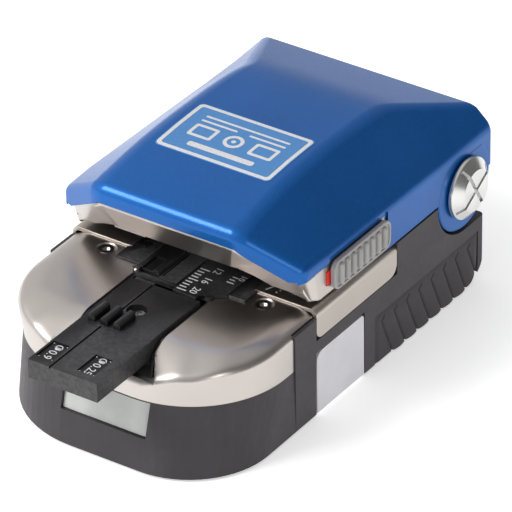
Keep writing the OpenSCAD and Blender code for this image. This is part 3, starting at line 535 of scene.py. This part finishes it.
def lid_skin(inset):
    """The cover's outer form as a closed block; inset moves every wall inwards."""
    top_z = ([(-18.9, 41.1), (-14, 42.15)] + CROWN
             + [(24, 44.0), (27.5, 43.75), (30, 43.45), (32, 43.1), (34, 42.6), (36, 42.0),
                (38.5, 41.2), (44, 39.4), (51.6, 36.95)])
    top_hw = [(-18.9, 16.3), (-3, 15.9), (33, 15.7), (36, 17.1), (51.6, 24.8)]
    side_z = [(-18.9, 33.9), (10, 33.4), (51.6, 32.7)]
    side_hw = [(-18.9, 27.7), (-8, 28.1), (51.6, 28.0)]
    verts, faces, rows = [], [], []
    stations = [y for y, z in top_z]
    for y in stations:
        lean = 5.7 * (1 - smooth((y + 18.9) / 26))
        rear = 0.98 * smooth((y - 44) / 7.5)
        t = (curve_at(top_hw, y) - inset * 0.5, y, curve_at(top_z, y) - inset)
        s = (curve_at(side_hw, y) - inset, y + lean + rear, curve_at(side_z, y) - inset * 0.4)
        b = (s[0] - 0.05, s[1], SKIN_FOOT)
        if y == stations[0]:
            t = (t[0], t[1] + inset, t[2])
            s = (s[0], s[1] + inset, s[2])
            b = (s[0], s[1], SKIN_FOOT)
        if y == stations[-1]:
            t = (t[0], t[1] - inset, t[2])
            s = (s[0], s[1] - inset, s[2])
            b = (s[0], s[1], SKIN_FOOT)
        row = [(-b[0], *b[1:]), (-s[0], *s[1:]), (-t[0], *t[1:]), t, s, b]
        rows.append(range(len(verts), len(verts) + 6))
        verts += row
    for a, b in zip(rows, rows[1:]):
        faces += [(a[i], a[i + 1], b[i + 1], b[i]) for i in range(5)]
    # front: a middle panel and two panels swept back; rear: one wall
    f0, f1 = len(verts), len(verts) + 1
    foot_x, foot_y = 15.9 - inset * 0.5, -18.5 + inset
    verts += [(-foot_x, foot_y, SKIN_FOOT), (foot_x, foot_y, SKIN_FOOT)]
    a = rows[0]
    faces += [(a[2], a[3], f1, f0), (a[3], a[4], a[5], f1), (a[1], a[2], f0, a[0])]
    b = rows[-1]
    faces += [(b[1], b[2], b[3], b[4]), (b[0], b[1], b[4], b[5])]
    faces.append(tuple(r[5] for r in rows) + tuple(r[0] for r in reversed(rows)) + (f0, f1))
    return verts, faces


def lid_cover():
    verts, faces = lid_skin(0.0)
    cover = new_object("Lid_cover", verts, faces)

    def rule(a, b):
        """Share of the full rounding that an edge gets."""
        low, high = min(a.z, b.z), max(a.z, b.z)
        front = a.y < -12.5 and b.y < -12.5
        rear = a.y > 51 and b.y > 51
        along = abs(a.y - b.y) > 1.5
        top = low > 36 and high > 40.9          # edges of the top's middle panel
        if low < 21:
            return 0.8 if front and high > 30 else 0.5 if rear and high > 30 else 0.0
        if front:
            if low > 41:
                return 1.0                      # front edge of the top
            return 0.85
        if rear:
            return 0.4
        if along and min(abs(a.x), abs(b.x)) > 27:
            return 0.55                         # crease at the top of the side wall
        if along and top and a.x * b.x > 0:
            return 0.9
        if along and low > 36:
            return 0.6
        return 0.0

    weigh_edges(cover, rule)
    round_edges(cover, 2.0, 6, weighted=True)
    inner = new_object("inner", *lid_skin(LID_WALL))
    cut(cover, inner)
    # lower edge: seam over the tray at the front, straight along the sides
    seam = [(15.5, 37.65), (25.9, 30.75), (27.6, 31.1), (27.7, PLATE_TOP), (40, 31.9), (40, 10)]
    cut(cover, prism("seam", both_ways(seam), -40, -4.9, "Y"))
    cut(cover, prism("below", both_ways([(26.4, 31.4), (26.4, 10)]), -30, 30, "Y"))
    for side in (1, -1):
        rear_end = 14.8 if side > 0 else -2.0
        pocket = [(40 * side, PLATE_TOP), (26.3 * side, PLATE_TOP), (26.3 * side, 10), (40 * side, 10)]
        cut(cover, prism("pocket", pocket, -5.0, rear_end, "Y"))
        # the skin is thinner over the pocket, so that its edge stands back there
        notch = [(-5.3, 31), (rear_end + 0.1, 31), (rear_end + 0.1, 32.6), (rear_end - 1.0, 33.15),
                 (-5.3, 33.15)]
        cut(cover, prism("notch", notch, 27.72 * side, 40 * side, "X"))
    cut(cover, box("bottom", (-40, -40, 10), (40, 60, LID_EDGE_Z)))
    cut(cover, box("knuckle_way", (-21.95, 36, 10), (21.95, 60, 27.2)))
    for side in (1, -1):
        inner_x, outer_x = 22.3 * side, 28.05 * side
        lobe_r, bore_r = 9.35, 2.6
        profile = [(bore_r, inner_x), (9.1, inner_x), (lobe_r, inner_x + 0.25 * side),
                   (lobe_r, outer_x - 0.5 * side), (9.2, outer_x - 0.15 * side), (8.9, outer_x),
                   (bore_r, outer_x), (bore_r, inner_x)]
        lobe = lathe("lobe", profile, (0, HINGE_Y, HINGE_Z), "X", 96)
        cut(lobe, box("above", (-60, 20, 30.5), (60, 70, 60)))
        join(cover, lobe)
    return piece(cover, "lid", "blue", "blue_paint", ["cover_shell"], angle=26)


lid_cover()


# ---------------------------------------------------------------- nose cover
DECK_Z = 23.7
COVER_Z = 23.3
BAND_HW, BAND_Y, BAND_R = 27.9, -40.9, 20.6
BAND_Z = 14.1
RIM_R = 18.6                    # the rim stands out a little over the band at the corners
ARC_STEPS = 30


def corner_angles():
    """Directions faced along a D-shaped outline, from the left side round the front to the right side."""
    left = [180 + 90 * i / ARC_STEPS for i in range(ARC_STEPS + 1)]
    return [180, 180, 180] + left + [a + 90 for a in left] + [360, 360, 360]


def nose_plan(hw, front, r_left, r_right, rear):
    """D-shaped outline, open at the rear, with the points that corner_angles describes."""
    left_end, right_end = front + r_left, front + r_right
    left = [(-hw, rear), (-hw, rear + (left_end - rear) / 3), (-hw, rear + (left_end - rear) * 2 / 3)]
    right = [(hw, rear + (right_end - rear) * 2 / 3), (hw, rear + (right_end - rear) / 3), (hw, rear)]
    return (left + circle(-hw + r_left, left_end, r_left, ARC_STEPS, 180, 270)
            + circle(hw - r_right, right_end, r_right, ARC_STEPS, 270, 360) + right)


def rings_to_solid(name, rings):
    """Closed solid from rings that are open at the rear, given from the bottom to the top."""
    verts = [point for ring in rings for point in ring]
    n = len(rings[0])
    faces = []
    for k in range(len(rings) - 1):
        faces += [(k * n + i, k * n + i + 1, (k + 1) * n + i + 1, (k + 1) * n + i) for i in range(n - 1)]
    last = (len(rings) - 1) * n
    faces += [tuple(range(n)), tuple(range(last, last + n))]
    starts = [k * n for k in range(len(rings))]
    faces.append(tuple(starts + [k + n - 1 for k in reversed(starts)]))
    return new_object(name, verts, faces)


def eased(table, x):
    """Like curve_at, with level tangents at the given points."""
    for (x0, v0), (x1, v1) in zip(table, table[1:]):
        if x <= x1:
            return v0 + (v1 - v0) * smooth((x - x0) / (x1 - x0))
    return table[-1][1]


def nose_body(name, inset, drop, rear):
    """The nose cover's block: a sloping front that fades into narrow shoulders along the sides."""
    def ring(depth, radius, height):
        inward = inset + depth
        plan = nose_plan(BAND_HW - inward, BAND_Y + inward, radius - inward, radius - inward, rear)
        return [(x, y, height(a, x)) for (x, y), a in zip(plan, corner_angles())]

    def level(z):
        return lambda angle, x: z

    round_r = 1.15              # rounding of the rim

    def top(depth):
        def height(angle, x):
            turn = abs(angle - 270) + 1.2 * max(0.0, abs(x) - 4)
            rim = eased([(0, 17.7), (42, 20.7), (75, 21.6), (120, 21.9)], turn)
            reach = eased([(0, 9.4), (45, 7.6), (80, 4.6), (120, 4.0)], turn)
            t = min(1.0, depth / reach)
            z = rim + (COVER_Z - rim) * (1 - (1 - t) ** 1.45)
            if depth < round_r:
                z -= round_r - math.sqrt(round_r ** 2 - (round_r - depth) ** 2)
            return z - drop
        return height

    rings = [ring(0, BAND_R, level(z)) for z in (8, BAND_Z, BAND_Z + 0.4)]
    for depth in (0, 0.06, 0.2, 0.42, 0.72, 1.15, 1.7, 2.3, 3.0, 3.8, 4.7, 5.6, 6.6, 7.6, 8.6,
                  9.6, 10.6):
        rings.append(ring(depth, RIM_R, top(depth)))
    return rings_to_solid(name, rings)


def nose_cover():
    cover = nose_body("Nose_cover", 0.0, 0.0, 0.0)
    inner = nose_body("inner", 1.0, 1.0, 5.0)
    cut(inner, box("trough", (-10.2, -38.5, 17.3), (10.2, 10, 60)))
    cut(cover, inner)
    cut(cover, box("skirt", (-60, -60, 0), (60, 20, BAND_Z + 0.05)))
    cut(cover, box("rear_half", (-60, -17.4, 0), (60, 20, 22.1)))
    cut(cover, box("deck_seat", (-60, -10.1, 0), (60, 20, 60)))
    channel = [(9.0, -14.4), (9.0, -35.6), (12.0, -40.3), (12.0, -70)]
    cut(cover, prism("channel", both_ways(channel), 18.4, 60))
    cut(cover, box("plate_seat", (-14.95, -14.45, 22.4), (14.95, 20, 60)))
    cut(cover, box("scale_seat", (1.1, -17.6, 23.05), (11.3, 20, 60)))
    for side in (1, -1):
        profile = [(0, 10), (1.0, 10), (1.0, 22.5), (1.75, 22.5), (1.95, 22.7), (1.95, 23.1),
                   (2.25, 23.4), (2.4, 30), (0, 30)]
        cut(cover, lathe("well", profile, (18.1 * side, -12.9, 0), "Z", 40))
    merge(cover, 0.004)
    round_edges(cover, 0.16, 2, 50)
    return piece(cover, "base", "nickel", "satin_nickel", ["nose_cover"], angle=24)


nose_cover()


# ---------------------------------------------------------------- nose casing
SHELL_BOTTOM = 0.5
SHELL_HW, SHELL_Y = 28.2, -44.2         # half width and front of the lower edge
LEFT_R, RIGHT_R = 22.9, 17.4            # corners of the lower edge
SHELL_REAR = -17.35
TEETH, TOOTH, TOOTH_PITCH = 16, 0.45, 0.95      # the comb along the window's lower edge


def shell_body(name, inset, low, high, lip=0.0):
    """The casing's nose, leaning in from its lower edge to the band; lip rounds the lower edge."""
    def ring(z, inward):
        t = (z - SHELL_BOTTOM) / (BAND_Z - SHELL_BOTTOM)
        inward += inset
        plan = nose_plan(SHELL_HW + (BAND_HW - SHELL_HW) * t - inward,
                         SHELL_Y + (BAND_Y - SHELL_Y) * t + inward,
                         LEFT_R + (BAND_R - LEFT_R) * t - inward,
                         RIGHT_R + (BAND_R - RIGHT_R) * t - inward, SHELL_REAR)
        return [(x, y, z) for x, y in plan]

    rows = [(low, lip), (low + lip * 0.25, lip * 0.45), (low + lip * 0.6, lip * 0.13),
            (low + lip + 0.1, 0)]
    rows += [(low + (high - low) * t, 0) for t in (0.4, 0.7, 1.0)]
    return rings_to_solid(name, [ring(z, inward) for z, inward in rows])


def nose_shell():
    shell = shell_body("Nose_casing", 0.0, SHELL_BOTTOM, BAND_Z, 0.8)
    cut(shell, shell_body("inner", 1.8, SHELL_BOTTOM - 1, BAND_Z + 1))
    cut(shell, prism("window", rounded(-8.2, 6.9, 11.2, 13.85, 0.9), -60, -36, "Y"))
    merge(shell, 0.004)
    round_edges(shell, 0.22, 2, 50)
    piece(shell, "base", "casing", "casing_plastic", ["nose_shell"], angle=30)
    # moulded teeth along the lower edge of the window
    comb = shell_body("Window_comb", 0.58, 7.0, 13.0)
    cut(comb, shell_body("inner", 0.8, 6.0, 14.0))
    lefts = [-6.9 + TOOTH_PITCH * i for i in range(TEETH)]
    boxes = [box("tooth", (x, -60, 7.15), (x + TOOTH, -30, 8.3)) for x in lefts]
    teeth = join(*boxes)
    combine(comb, [teeth], "INTERSECT")
    piece(comb, "base", "window", "clear_window")


# ---------------------------------------------------------------- printing on the lid
def lid_film(low, high):
    """Thin closed layer that follows the lid's top between two heights above it."""
    hw = 14.5
    verts = []
    for y, z in CROWN:
        verts += [(-hw, y, z + low), (hw, y, z + low), (hw, y, z + high), (-hw, y, z + high)]
    return rails_to_solid("film", verts)


def printing(name, outlines, low, high, material, slot, holes=(), nodes_replaced=()):
    """Shapes cut out of the layer over the lid."""
    parts = []
    for outline in outlines:
        shape = prism(name, outline, 40, 48)
        for hole in holes:
            cut(shape, prism("hole", hole, 39, 49))
        combine(shape, [lid_film(low, high)], "INTERSECT")
        parts.append(shape)
    if len(parts) > 1:
        work = bmesh.new()
        for part in parts:
            work.from_mesh(part.data)
        work.to_mesh(parts[0].data)
        work.free()
        for part in parts[1:]:
            bpy.data.objects.remove(part)
    parts[0].name = name
    return piece(parts[0], "lid", material, slot, nodes_replaced, angle=30)


INK = (0.05, 0.10)              # heights of the white print over the lid


def label():
    x, y0, y1 = 13.2, -3.5, 12.9
    printing("Label_field", [rounded(-x, y0, x, y1, 1.0)], -0.2, 0.07, "label", "label_blue",
             nodes_replaced=["label_plate"])
    printing("Label_border", [rounded(-x + 0.2, y0 + 0.2, x - 0.2, y1 - 0.2, 1.0)], *INK, "white",
             None, holes=[rounded(-x + 1.0, y0 + 1.0, x - 1.0, y1 - 1.0, 0.6)])
    # pictogram: a fibre on two supports, with the blade wheel under it
    bars = [rounded(-9.6, 9.0, 9.6, 9.55, 0.2), rounded(-9.6, 7.4, -1.4, 7.95, 0.2),
            rounded(1.4, 7.4, 9.6, 7.95, 0.2)]
    wheel = [circle(0, 4.3, 2.1, 40)]
    blocks = [rounded(-9.6, 2.2, -4.2, 6.3, 0.5), rounded(4.2, 2.2, 9.6, 6.3, 0.5)]
    foot = [rounded(-7.5, -0.9, 7.5, 0.5, 0.5)]
    printing("Label_lines", bars + foot, *INK, "white", None)
    printing("Label_wheel", wheel, *INK, "white", None, holes=[circle(0, 4.3, 1.35, 36)])
    printing("Label_hub", [circle(0, 4.3, 0.5, 20)], *INK, "white", None)
    printing("Label_supports", blocks, *INK, "white", None,
             holes=[rounded(-8.9, 2.9, -4.9, 5.6, 0.3), rounded(4.9, 2.9, 8.9, 5.6, 0.3)])


label()


# ---------------------------------------------------------------- rubber grips
GRIP_Y0, GRIP_Y1, GRIP_TOP = 10.1, 47.1, 11.3
GRIP_LOW = 0.5
GRIP_COLUMNS, GRIP_ROWS = 230, 40
GROOVE_TOP = 10.2
GROOVE_Y, GROOVE_PITCH, GROOVE_SLANT = 12.1, 4.4, 0.42
GROOVE_DEPTH = 0.42


def grip_height(y, z):
    """How far the grip stands out: low swells between thin slanted grooves that hook back at the top."""
    down = max(0.0, GROOVE_TOP - z)
    hook = 1.3 * smooth((z - (GROOVE_TOP - 0.9)) / 0.9)
    along = (y - GROOVE_Y - GROOVE_SLANT * down - hook) / GROOVE_PITCH
    t = along - math.floor(along)               # 0 at one groove, 1 at the next
    inside = smooth((GROOVE_TOP + 0.15 - z) / 0.25)
    fade = smooth((46.9 - y) / 1.5) * smooth((along + 0.15) / 0.3) * smooth(down / 1.5)
    swell = (0.05 + 0.42 * down / 9.7) * (1 - 0.75 * (2 * t - 1) ** 2)
    groove = 0.0
    if along > -0.3 and y < 46.5:
        groove = GROOVE_DEPTH * math.exp(-((t if t < 0.5 else t - 1) / 0.042) ** 2)
    return swell * fade - groove * inside


def grip(side, name, node):
    x_back, face = 27.05, 28.2
    heel_y, heel_r = 41.5, 5.6                  # where the lower edge turns up at the rear
    step = (GRIP_Y1 - GRIP_Y0) / GRIP_COLUMNS
    columns = [GRIP_Y0 + step * i for i in range(GRIP_COLUMNS + 1)]
    rows = GRIP_ROWS
    verts, faces = [], []
    for y in columns:
        low = GRIP_LOW
        if y > heel_y:
            low += heel_r - math.sqrt(max(0.0, heel_r ** 2 - (y - heel_y) ** 2))
        for j in range(rows + 1):
            z = low + (GRIP_TOP - low) * j / rows
            edge = min(1.0, (GRIP_TOP - z) / 1.2, (y - GRIP_Y0) / 1.6, (GRIP_Y1 - y) / 1.2)
            x = face + grip_height(y, z) - 0.19 * (1 - smooth(edge))
            verts.append((x * side, y, z))
    n = rows + 1
    for i in range(len(columns) - 1):
        a, b = i * n, (i + 1) * n
        faces += [(a + j, b + j, b + j + 1, a + j + 1) for j in range(rows)]
    rim = ([i * n for i in range(len(columns))] + [(len(columns) - 1) * n + j for j in range(1, n)]
           + [i * n + rows for i in range(len(columns) - 2, -1, -1)] + list(range(rows - 1, 0, -1)))
    start = len(verts)
    verts += [(x_back * side, verts[k][1], verts[k][2]) for k in rim]
    count = len(rim)
    for k in range(count):
        after = (k + 1) % count
        faces.append((rim[k], rim[after], start + after, start + k))
    faces.append(tuple(range(start, start + count)))
    obj = new_object(name, verts, faces)
    return piece(obj, "base", "grip", "grip_rubber", [node], angle=50)


grip(1, "Grip_right_scales", "grip_right")
grip(-1, "Grip_left_scales", "grip_left")


# ---------------------------------------------------------------- lid tray's front
def tray_front():
    """Steel band under the cover's front edge, with its corners turned back along the sides."""
    # x, then y and z of the upper edge, then of the lower edge
    half = [(0, -18.5, 37.55, -15.6, 31.3), (15.1, -18.4, 37.5, -15.45, 31.3),
            (20.4, -15.95, 34.15, -13.3, 28.3), (25.5, -13.0, 30.75, -10.8, 26.4),
            (27.0, -11.6, 31.2, -9.7, 25.3), (27.62, -9.8, 31.5, -8.6, 25.0),
            (27.62, -6.2, 31.5, -6.2, 25.0)]
    # from the outer to the inner face at each of them
    inward = [(0, 1.1), (0, 1.1), (-0.4, 1.1), (-0.5, 1.1), (-0.9, 0.8), (-1.1, 0.1), (-1.1, 0)]
    verts = []
    rows = list(zip(half, inward))
    mirrored = [((-x, *rest), (-dx, dy)) for (x, *rest), (dx, dy) in reversed(rows[1:])]
    for (x, y_top, z_top, y_low, z_low), (dx, dy) in mirrored + rows:
        verts += [(x, y_top, z_top), (x, y_low, z_low), (x + dx, y_low + dy, z_low),
                  (x + dx, y_top + dy, z_top)]
    band = rails_to_solid("Tray_front_band", verts)
    round_edges(band, 0.28, 3, 22)
    return piece(band, "lid", "nickel", "deck_steel", angle=30)


tray_front()


# ---------------------------------------------------------------- hinge caps
def hinge_cap(side, name):
    """Turned cap with a wide bevel and two crossed coin slots."""
    inner, rim, face = 28.3, 29.2, 30.8
    cap_r, bore_r, bore_end = 6.5, 2.52, 29.62
    profile = [(bore_r, inner), (6.3, inner), (cap_r, inner + 0.2), (cap_r, rim - 0.15),
               (6.42, rim + 0.05), (4.62, face - 0.18), (4.4, face), (0, face), (0, bore_end),
               (bore_r, bore_end), (bore_r, inner)]
    cap = lathe(name, [(r, x * side) for r, x in profile], (0, HINGE_Y, HINGE_Z), "X", 120)
    for angle in (30.5, 120.5):
        outline = [(28.75, 6.1), (30.05, 4.3), (30.05, -4.3), (28.75, -6.1), (33, -6.1), (33, 6.1)]
        slot_cut = prism("slot", [(x * side, r) for x, r in outline], -0.4, 0.4, "Y")
        turn = Matrix.Translation(mm(0, HINGE_Y, HINGE_Z)) @ Matrix.Rotation(math.radians(angle), 4, "X")
        slot_cut.data.transform(turn)
        cut(cap, slot_cut)
    return cap


def hinge_caps():
    cap = hinge_cap(1, "Hinge_caps")
    other = hinge_cap(-1, "cap")
    work = bmesh.new()
    work.from_mesh(cap.data)
    work.from_mesh(other.data)
    work.to_mesh(cap.data)
    work.free()
    bpy.data.objects.remove(other)
    merge(cap, 0.004)
    round_edges(cap, 0.07, 2, 50)
    return piece(cap, "base", "turned", "machined_aluminium", ["hinge_caps"], angle=24)


hinge_caps()


# ---------------------------------------------------------------- lock slider
def lock_slider():
    """Thumb slider: a rounded plate with upright ribs that have rounded ends."""
    y0, y1, z0, z1 = -4.9, 14.6, 25.4, 31.7
    outline = rounded(y0, z0, y1, z1, 1.8, 10)
    slider = prism("Lock_slider_ribbed", outline, 27.9, 28.75, "X")
    round_edges(slider, 0.22, 3, 50)
    rim = prism("rim", outline, 28.4, 29.0, "X")
    lip = 0.55
    inside = rounded(y0 + lip, z0 + lip, y1 - lip, z1 - lip, 1.35, 10)
    cut(rim, prism("hollow", inside, 28.0, 29.5, "X"))
    round_edges(rim, 0.18, 2, 50)
    join(slider, rim)
    r, ribs = 0.62, 8
    low, high = z0 + 0.75, z1 - 0.75
    for i in range(ribs):
        y = y0 + 2.3 + i * (y1 - y0 - 4.6) / (ribs - 1)
        turns = [math.radians(t) for t in range(0, 91, 15)]
        dome = [(r * math.sin(t), r * math.cos(t)) for t in turns]
        profile = [(a, high - r + b) for a, b in dome] + [(a, low + r - b) for a, b in reversed(dome)]
        profile[0], profile[-1] = (0, high), (0, low)
        join(slider, lathe("rib", profile, (28.9, y, 0), "Z", 24))
    join(slider, box("tongue", (25.9, 0, 27.5), (28.0, 8.4, 29.5)))
    return piece(slider, "lid_lock", "slider", "slider_plastic", ["lock_slider"], angle=38)


lock_slider()


# ---------------------------------------------------------------- printed scales and markings
PRINT = 0.03                    # thickness of the printed marks
DIVISION = 1.001                # between the lines of the scale


def lettering(text, size, spot):
    """Raised letters as a mesh, centred on spot, with their tops towards +X."""
    data = bpy.data.curves.new("letters", "FONT")
    data.body, data.size = text, size * MM
    data.align_x, data.align_y = "CENTER", "CENTER"
    data.extrude = 0.02 * MM
    data.resolution_u = 3
    obj = bpy.data.objects.new("letters", data)
    bpy.context.scene.collection.objects.link(obj)
    bpy.context.view_layer.update()
    mesh = bpy.data.meshes.new_from_object(obj.evaluated_get(bpy.context.evaluated_depsgraph_get()))
    bpy.data.objects.remove(obj)
    bpy.data.curves.remove(data)
    mesh.transform(Matrix.Translation(mm(*spot)) @ Matrix.Rotation(math.radians(-90), 4, "Z"))
    mark = bpy.data.objects.new("letters", mesh)
    bpy.context.scene.collection.objects.link(mark)
    return mark


def gather(name, parts):
    """Joins separate solids in one object."""
    work = bmesh.new()
    for part in parts:
        work.from_mesh(part.data)
    mesh = bpy.data.meshes.new(name)
    work.to_mesh(mesh)
    work.free()
    for part in parts:
        bpy.data.objects.remove(part)
    obj = bpy.data.objects.new(name, mesh)
    bpy.context.scene.collection.objects.link(obj)
    return obj


def line(x0, y0, x1, y1, z, width=0.26):
    """A printed line between two points."""
    along = Vector((x1 - x0, y1 - y0)).normalized() * width / 2
    side = Vector((-along.y, along.x))
    a, b = Vector((x0, y0)), Vector((x1, y1))
    outline = [a - side, b - side, b + side, a + side]
    return prism("line", [tuple(p) for p in outline], z, z + PRINT)


def scale_marks():
    top = DECK_Z + 0.2
    parts = []
    for i in range(9):
        y = -17.7 + DIVISION * i
        parts.append(line(1.6, y, 3.7 if i % 4 == 0 else 3.1, y, top))
    for i, text in ((0, "20"), (4, "16"), (8, "12")):
        parts.append(lettering(text, 2.3, (5.0, -16.7 + i, top)))
    for i in range(3):
        parts.append(line(8.4, -10.9 + i, 9.6 if i else 10.0, -10.9 + i, top))
    parts.append(lettering("10", 1.9, (10.35, -8.4, top)))
    piece(gather("Scale_marks", parts), "base", "white", angle=30)
    marks = [line(15.9, -8.9, 16.8, -6.9, DECK_Z, 0.3), line(18.0, -8.6, 18.35, -8.6, DECK_Z, 0.35),
             line(18.3, -7.6, 18.65, -7.6, DECK_Z, 0.35)]
    piece(gather("Deck_marks", marks), "base", "white", angle=30)
    # in the adapter's two pockets: the fibre diameter, with a dot in each corner
    floor, margin = DECK_Z - 0.3, 0.35
    parts = [lettering("Φ0.9", 2.5, (-5.55, -47.75, floor)),
             lettering("Φ0.25", 2.4, (3.85, -47.5, floor))]
    for x0, y0, x1, y1 in ((-7.4, -50.6, -3.7, -44.9), (1.95, -50.6, 5.75, -44.4)):
        for y in (y0 + margin, y1 - margin):
            for x in (x0 + margin, x1 - margin):
                parts.append(prism("dot", circle(x, y, 0.13, 12), floor, floor + PRINT))
    piece(gather("Adapter_marks", parts), "base", "white", angle=30)


scale_marks()


# ---------------------------------------------------------------- studio
BRIGHT_SIDE = (-0.87, -0.30, 0.43)      # direction of the bright wall: left, forward and above
WALL_FALLOFF = {"From Min": -0.45, "From Max": 0.9, "To Min": 0.16, "To Max": 0.78}
FLOOR_GLOW = 0.5
LAMP_SIZE = 0.4                         # m, side of the square lamps


def make_studio():
    bpy.context.scene.view_settings.view_transform = "Standard"
    world = bpy.data.worlds.new("World")
    bpy.context.scene.world = world
    world.use_nodes = True
    background = world.node_tree.nodes["Background"]
    background.inputs["Color"].default_value = (1.0, 1.0, 1.0, 1.0)
    tree = world.node_tree
    coords = tree.nodes.new("ShaderNodeTexCoord")
    towards = tree.nodes.new("ShaderNodeVectorMath")
    towards.operation = "DOT_PRODUCT"
    towards.inputs[1].default_value = BRIGHT_SIDE
    falloff = tree.nodes.new("ShaderNodeMapRange")
    falloff.interpolation_type = "SMOOTHSTEP"
    for key, value in WALL_FALLOFF.items():
        falloff.inputs[key].default_value = value
    tree.links.new(coords.outputs["Generated"], towards.inputs[0])
    tree.links.new(towards.outputs["Value"], falloff.inputs["Value"])
    tree.links.new(falloff.outputs["Result"], background.inputs["Strength"])
    mesh = bpy.data.meshes.new("Floor")
    work = bmesh.new()
    bmesh.ops.create_grid(work, x_segments=2, y_segments=2, size=3.0)
    work.to_mesh(mesh)
    work.free()
    floor = bpy.data.objects.new("Floor", mesh)
    bpy.context.scene.collection.objects.link(floor)
    n = Nodes("pale_floor")
    n.colour(n.ramp(n.noise(300.0), [(0.3, (0.90, 0.90, 0.90)), (0.7, (0.92, 0.92, 0.92))]))
    n.rough(n.span(n.noise(40.0), 0.7, 0.8))
    n.set(Emission_Color=(1.0, 1.0, 1.0, 1.0), Emission_Strength=FLOOR_GLOW)
    mesh.materials.append(n.mat)

    def area(name, place, power, tint=(1, 1, 1)):
        data = bpy.data.lights.new(name, "AREA")
        data.size = LAMP_SIZE
        data.energy, data.color = power, tint
        lamp = bpy.data.objects.new(name, data)
        lamp.location = place
        lamp.rotation_mode = "QUATERNION"
        lamp.rotation_quaternion = (Vector(place) - mm(0, 0, 20)).to_track_quat("Z", "Y")
        bpy.context.scene.collection.objects.link(lamp)

    area("Key", (-0.50, -0.55, 0.72), 5.5)
    area("Side", (0.85, -0.65, 0.35), 1.6, (1.0, 0.99, 0.97))


make_studio()
bpy.context.view_layer.update()
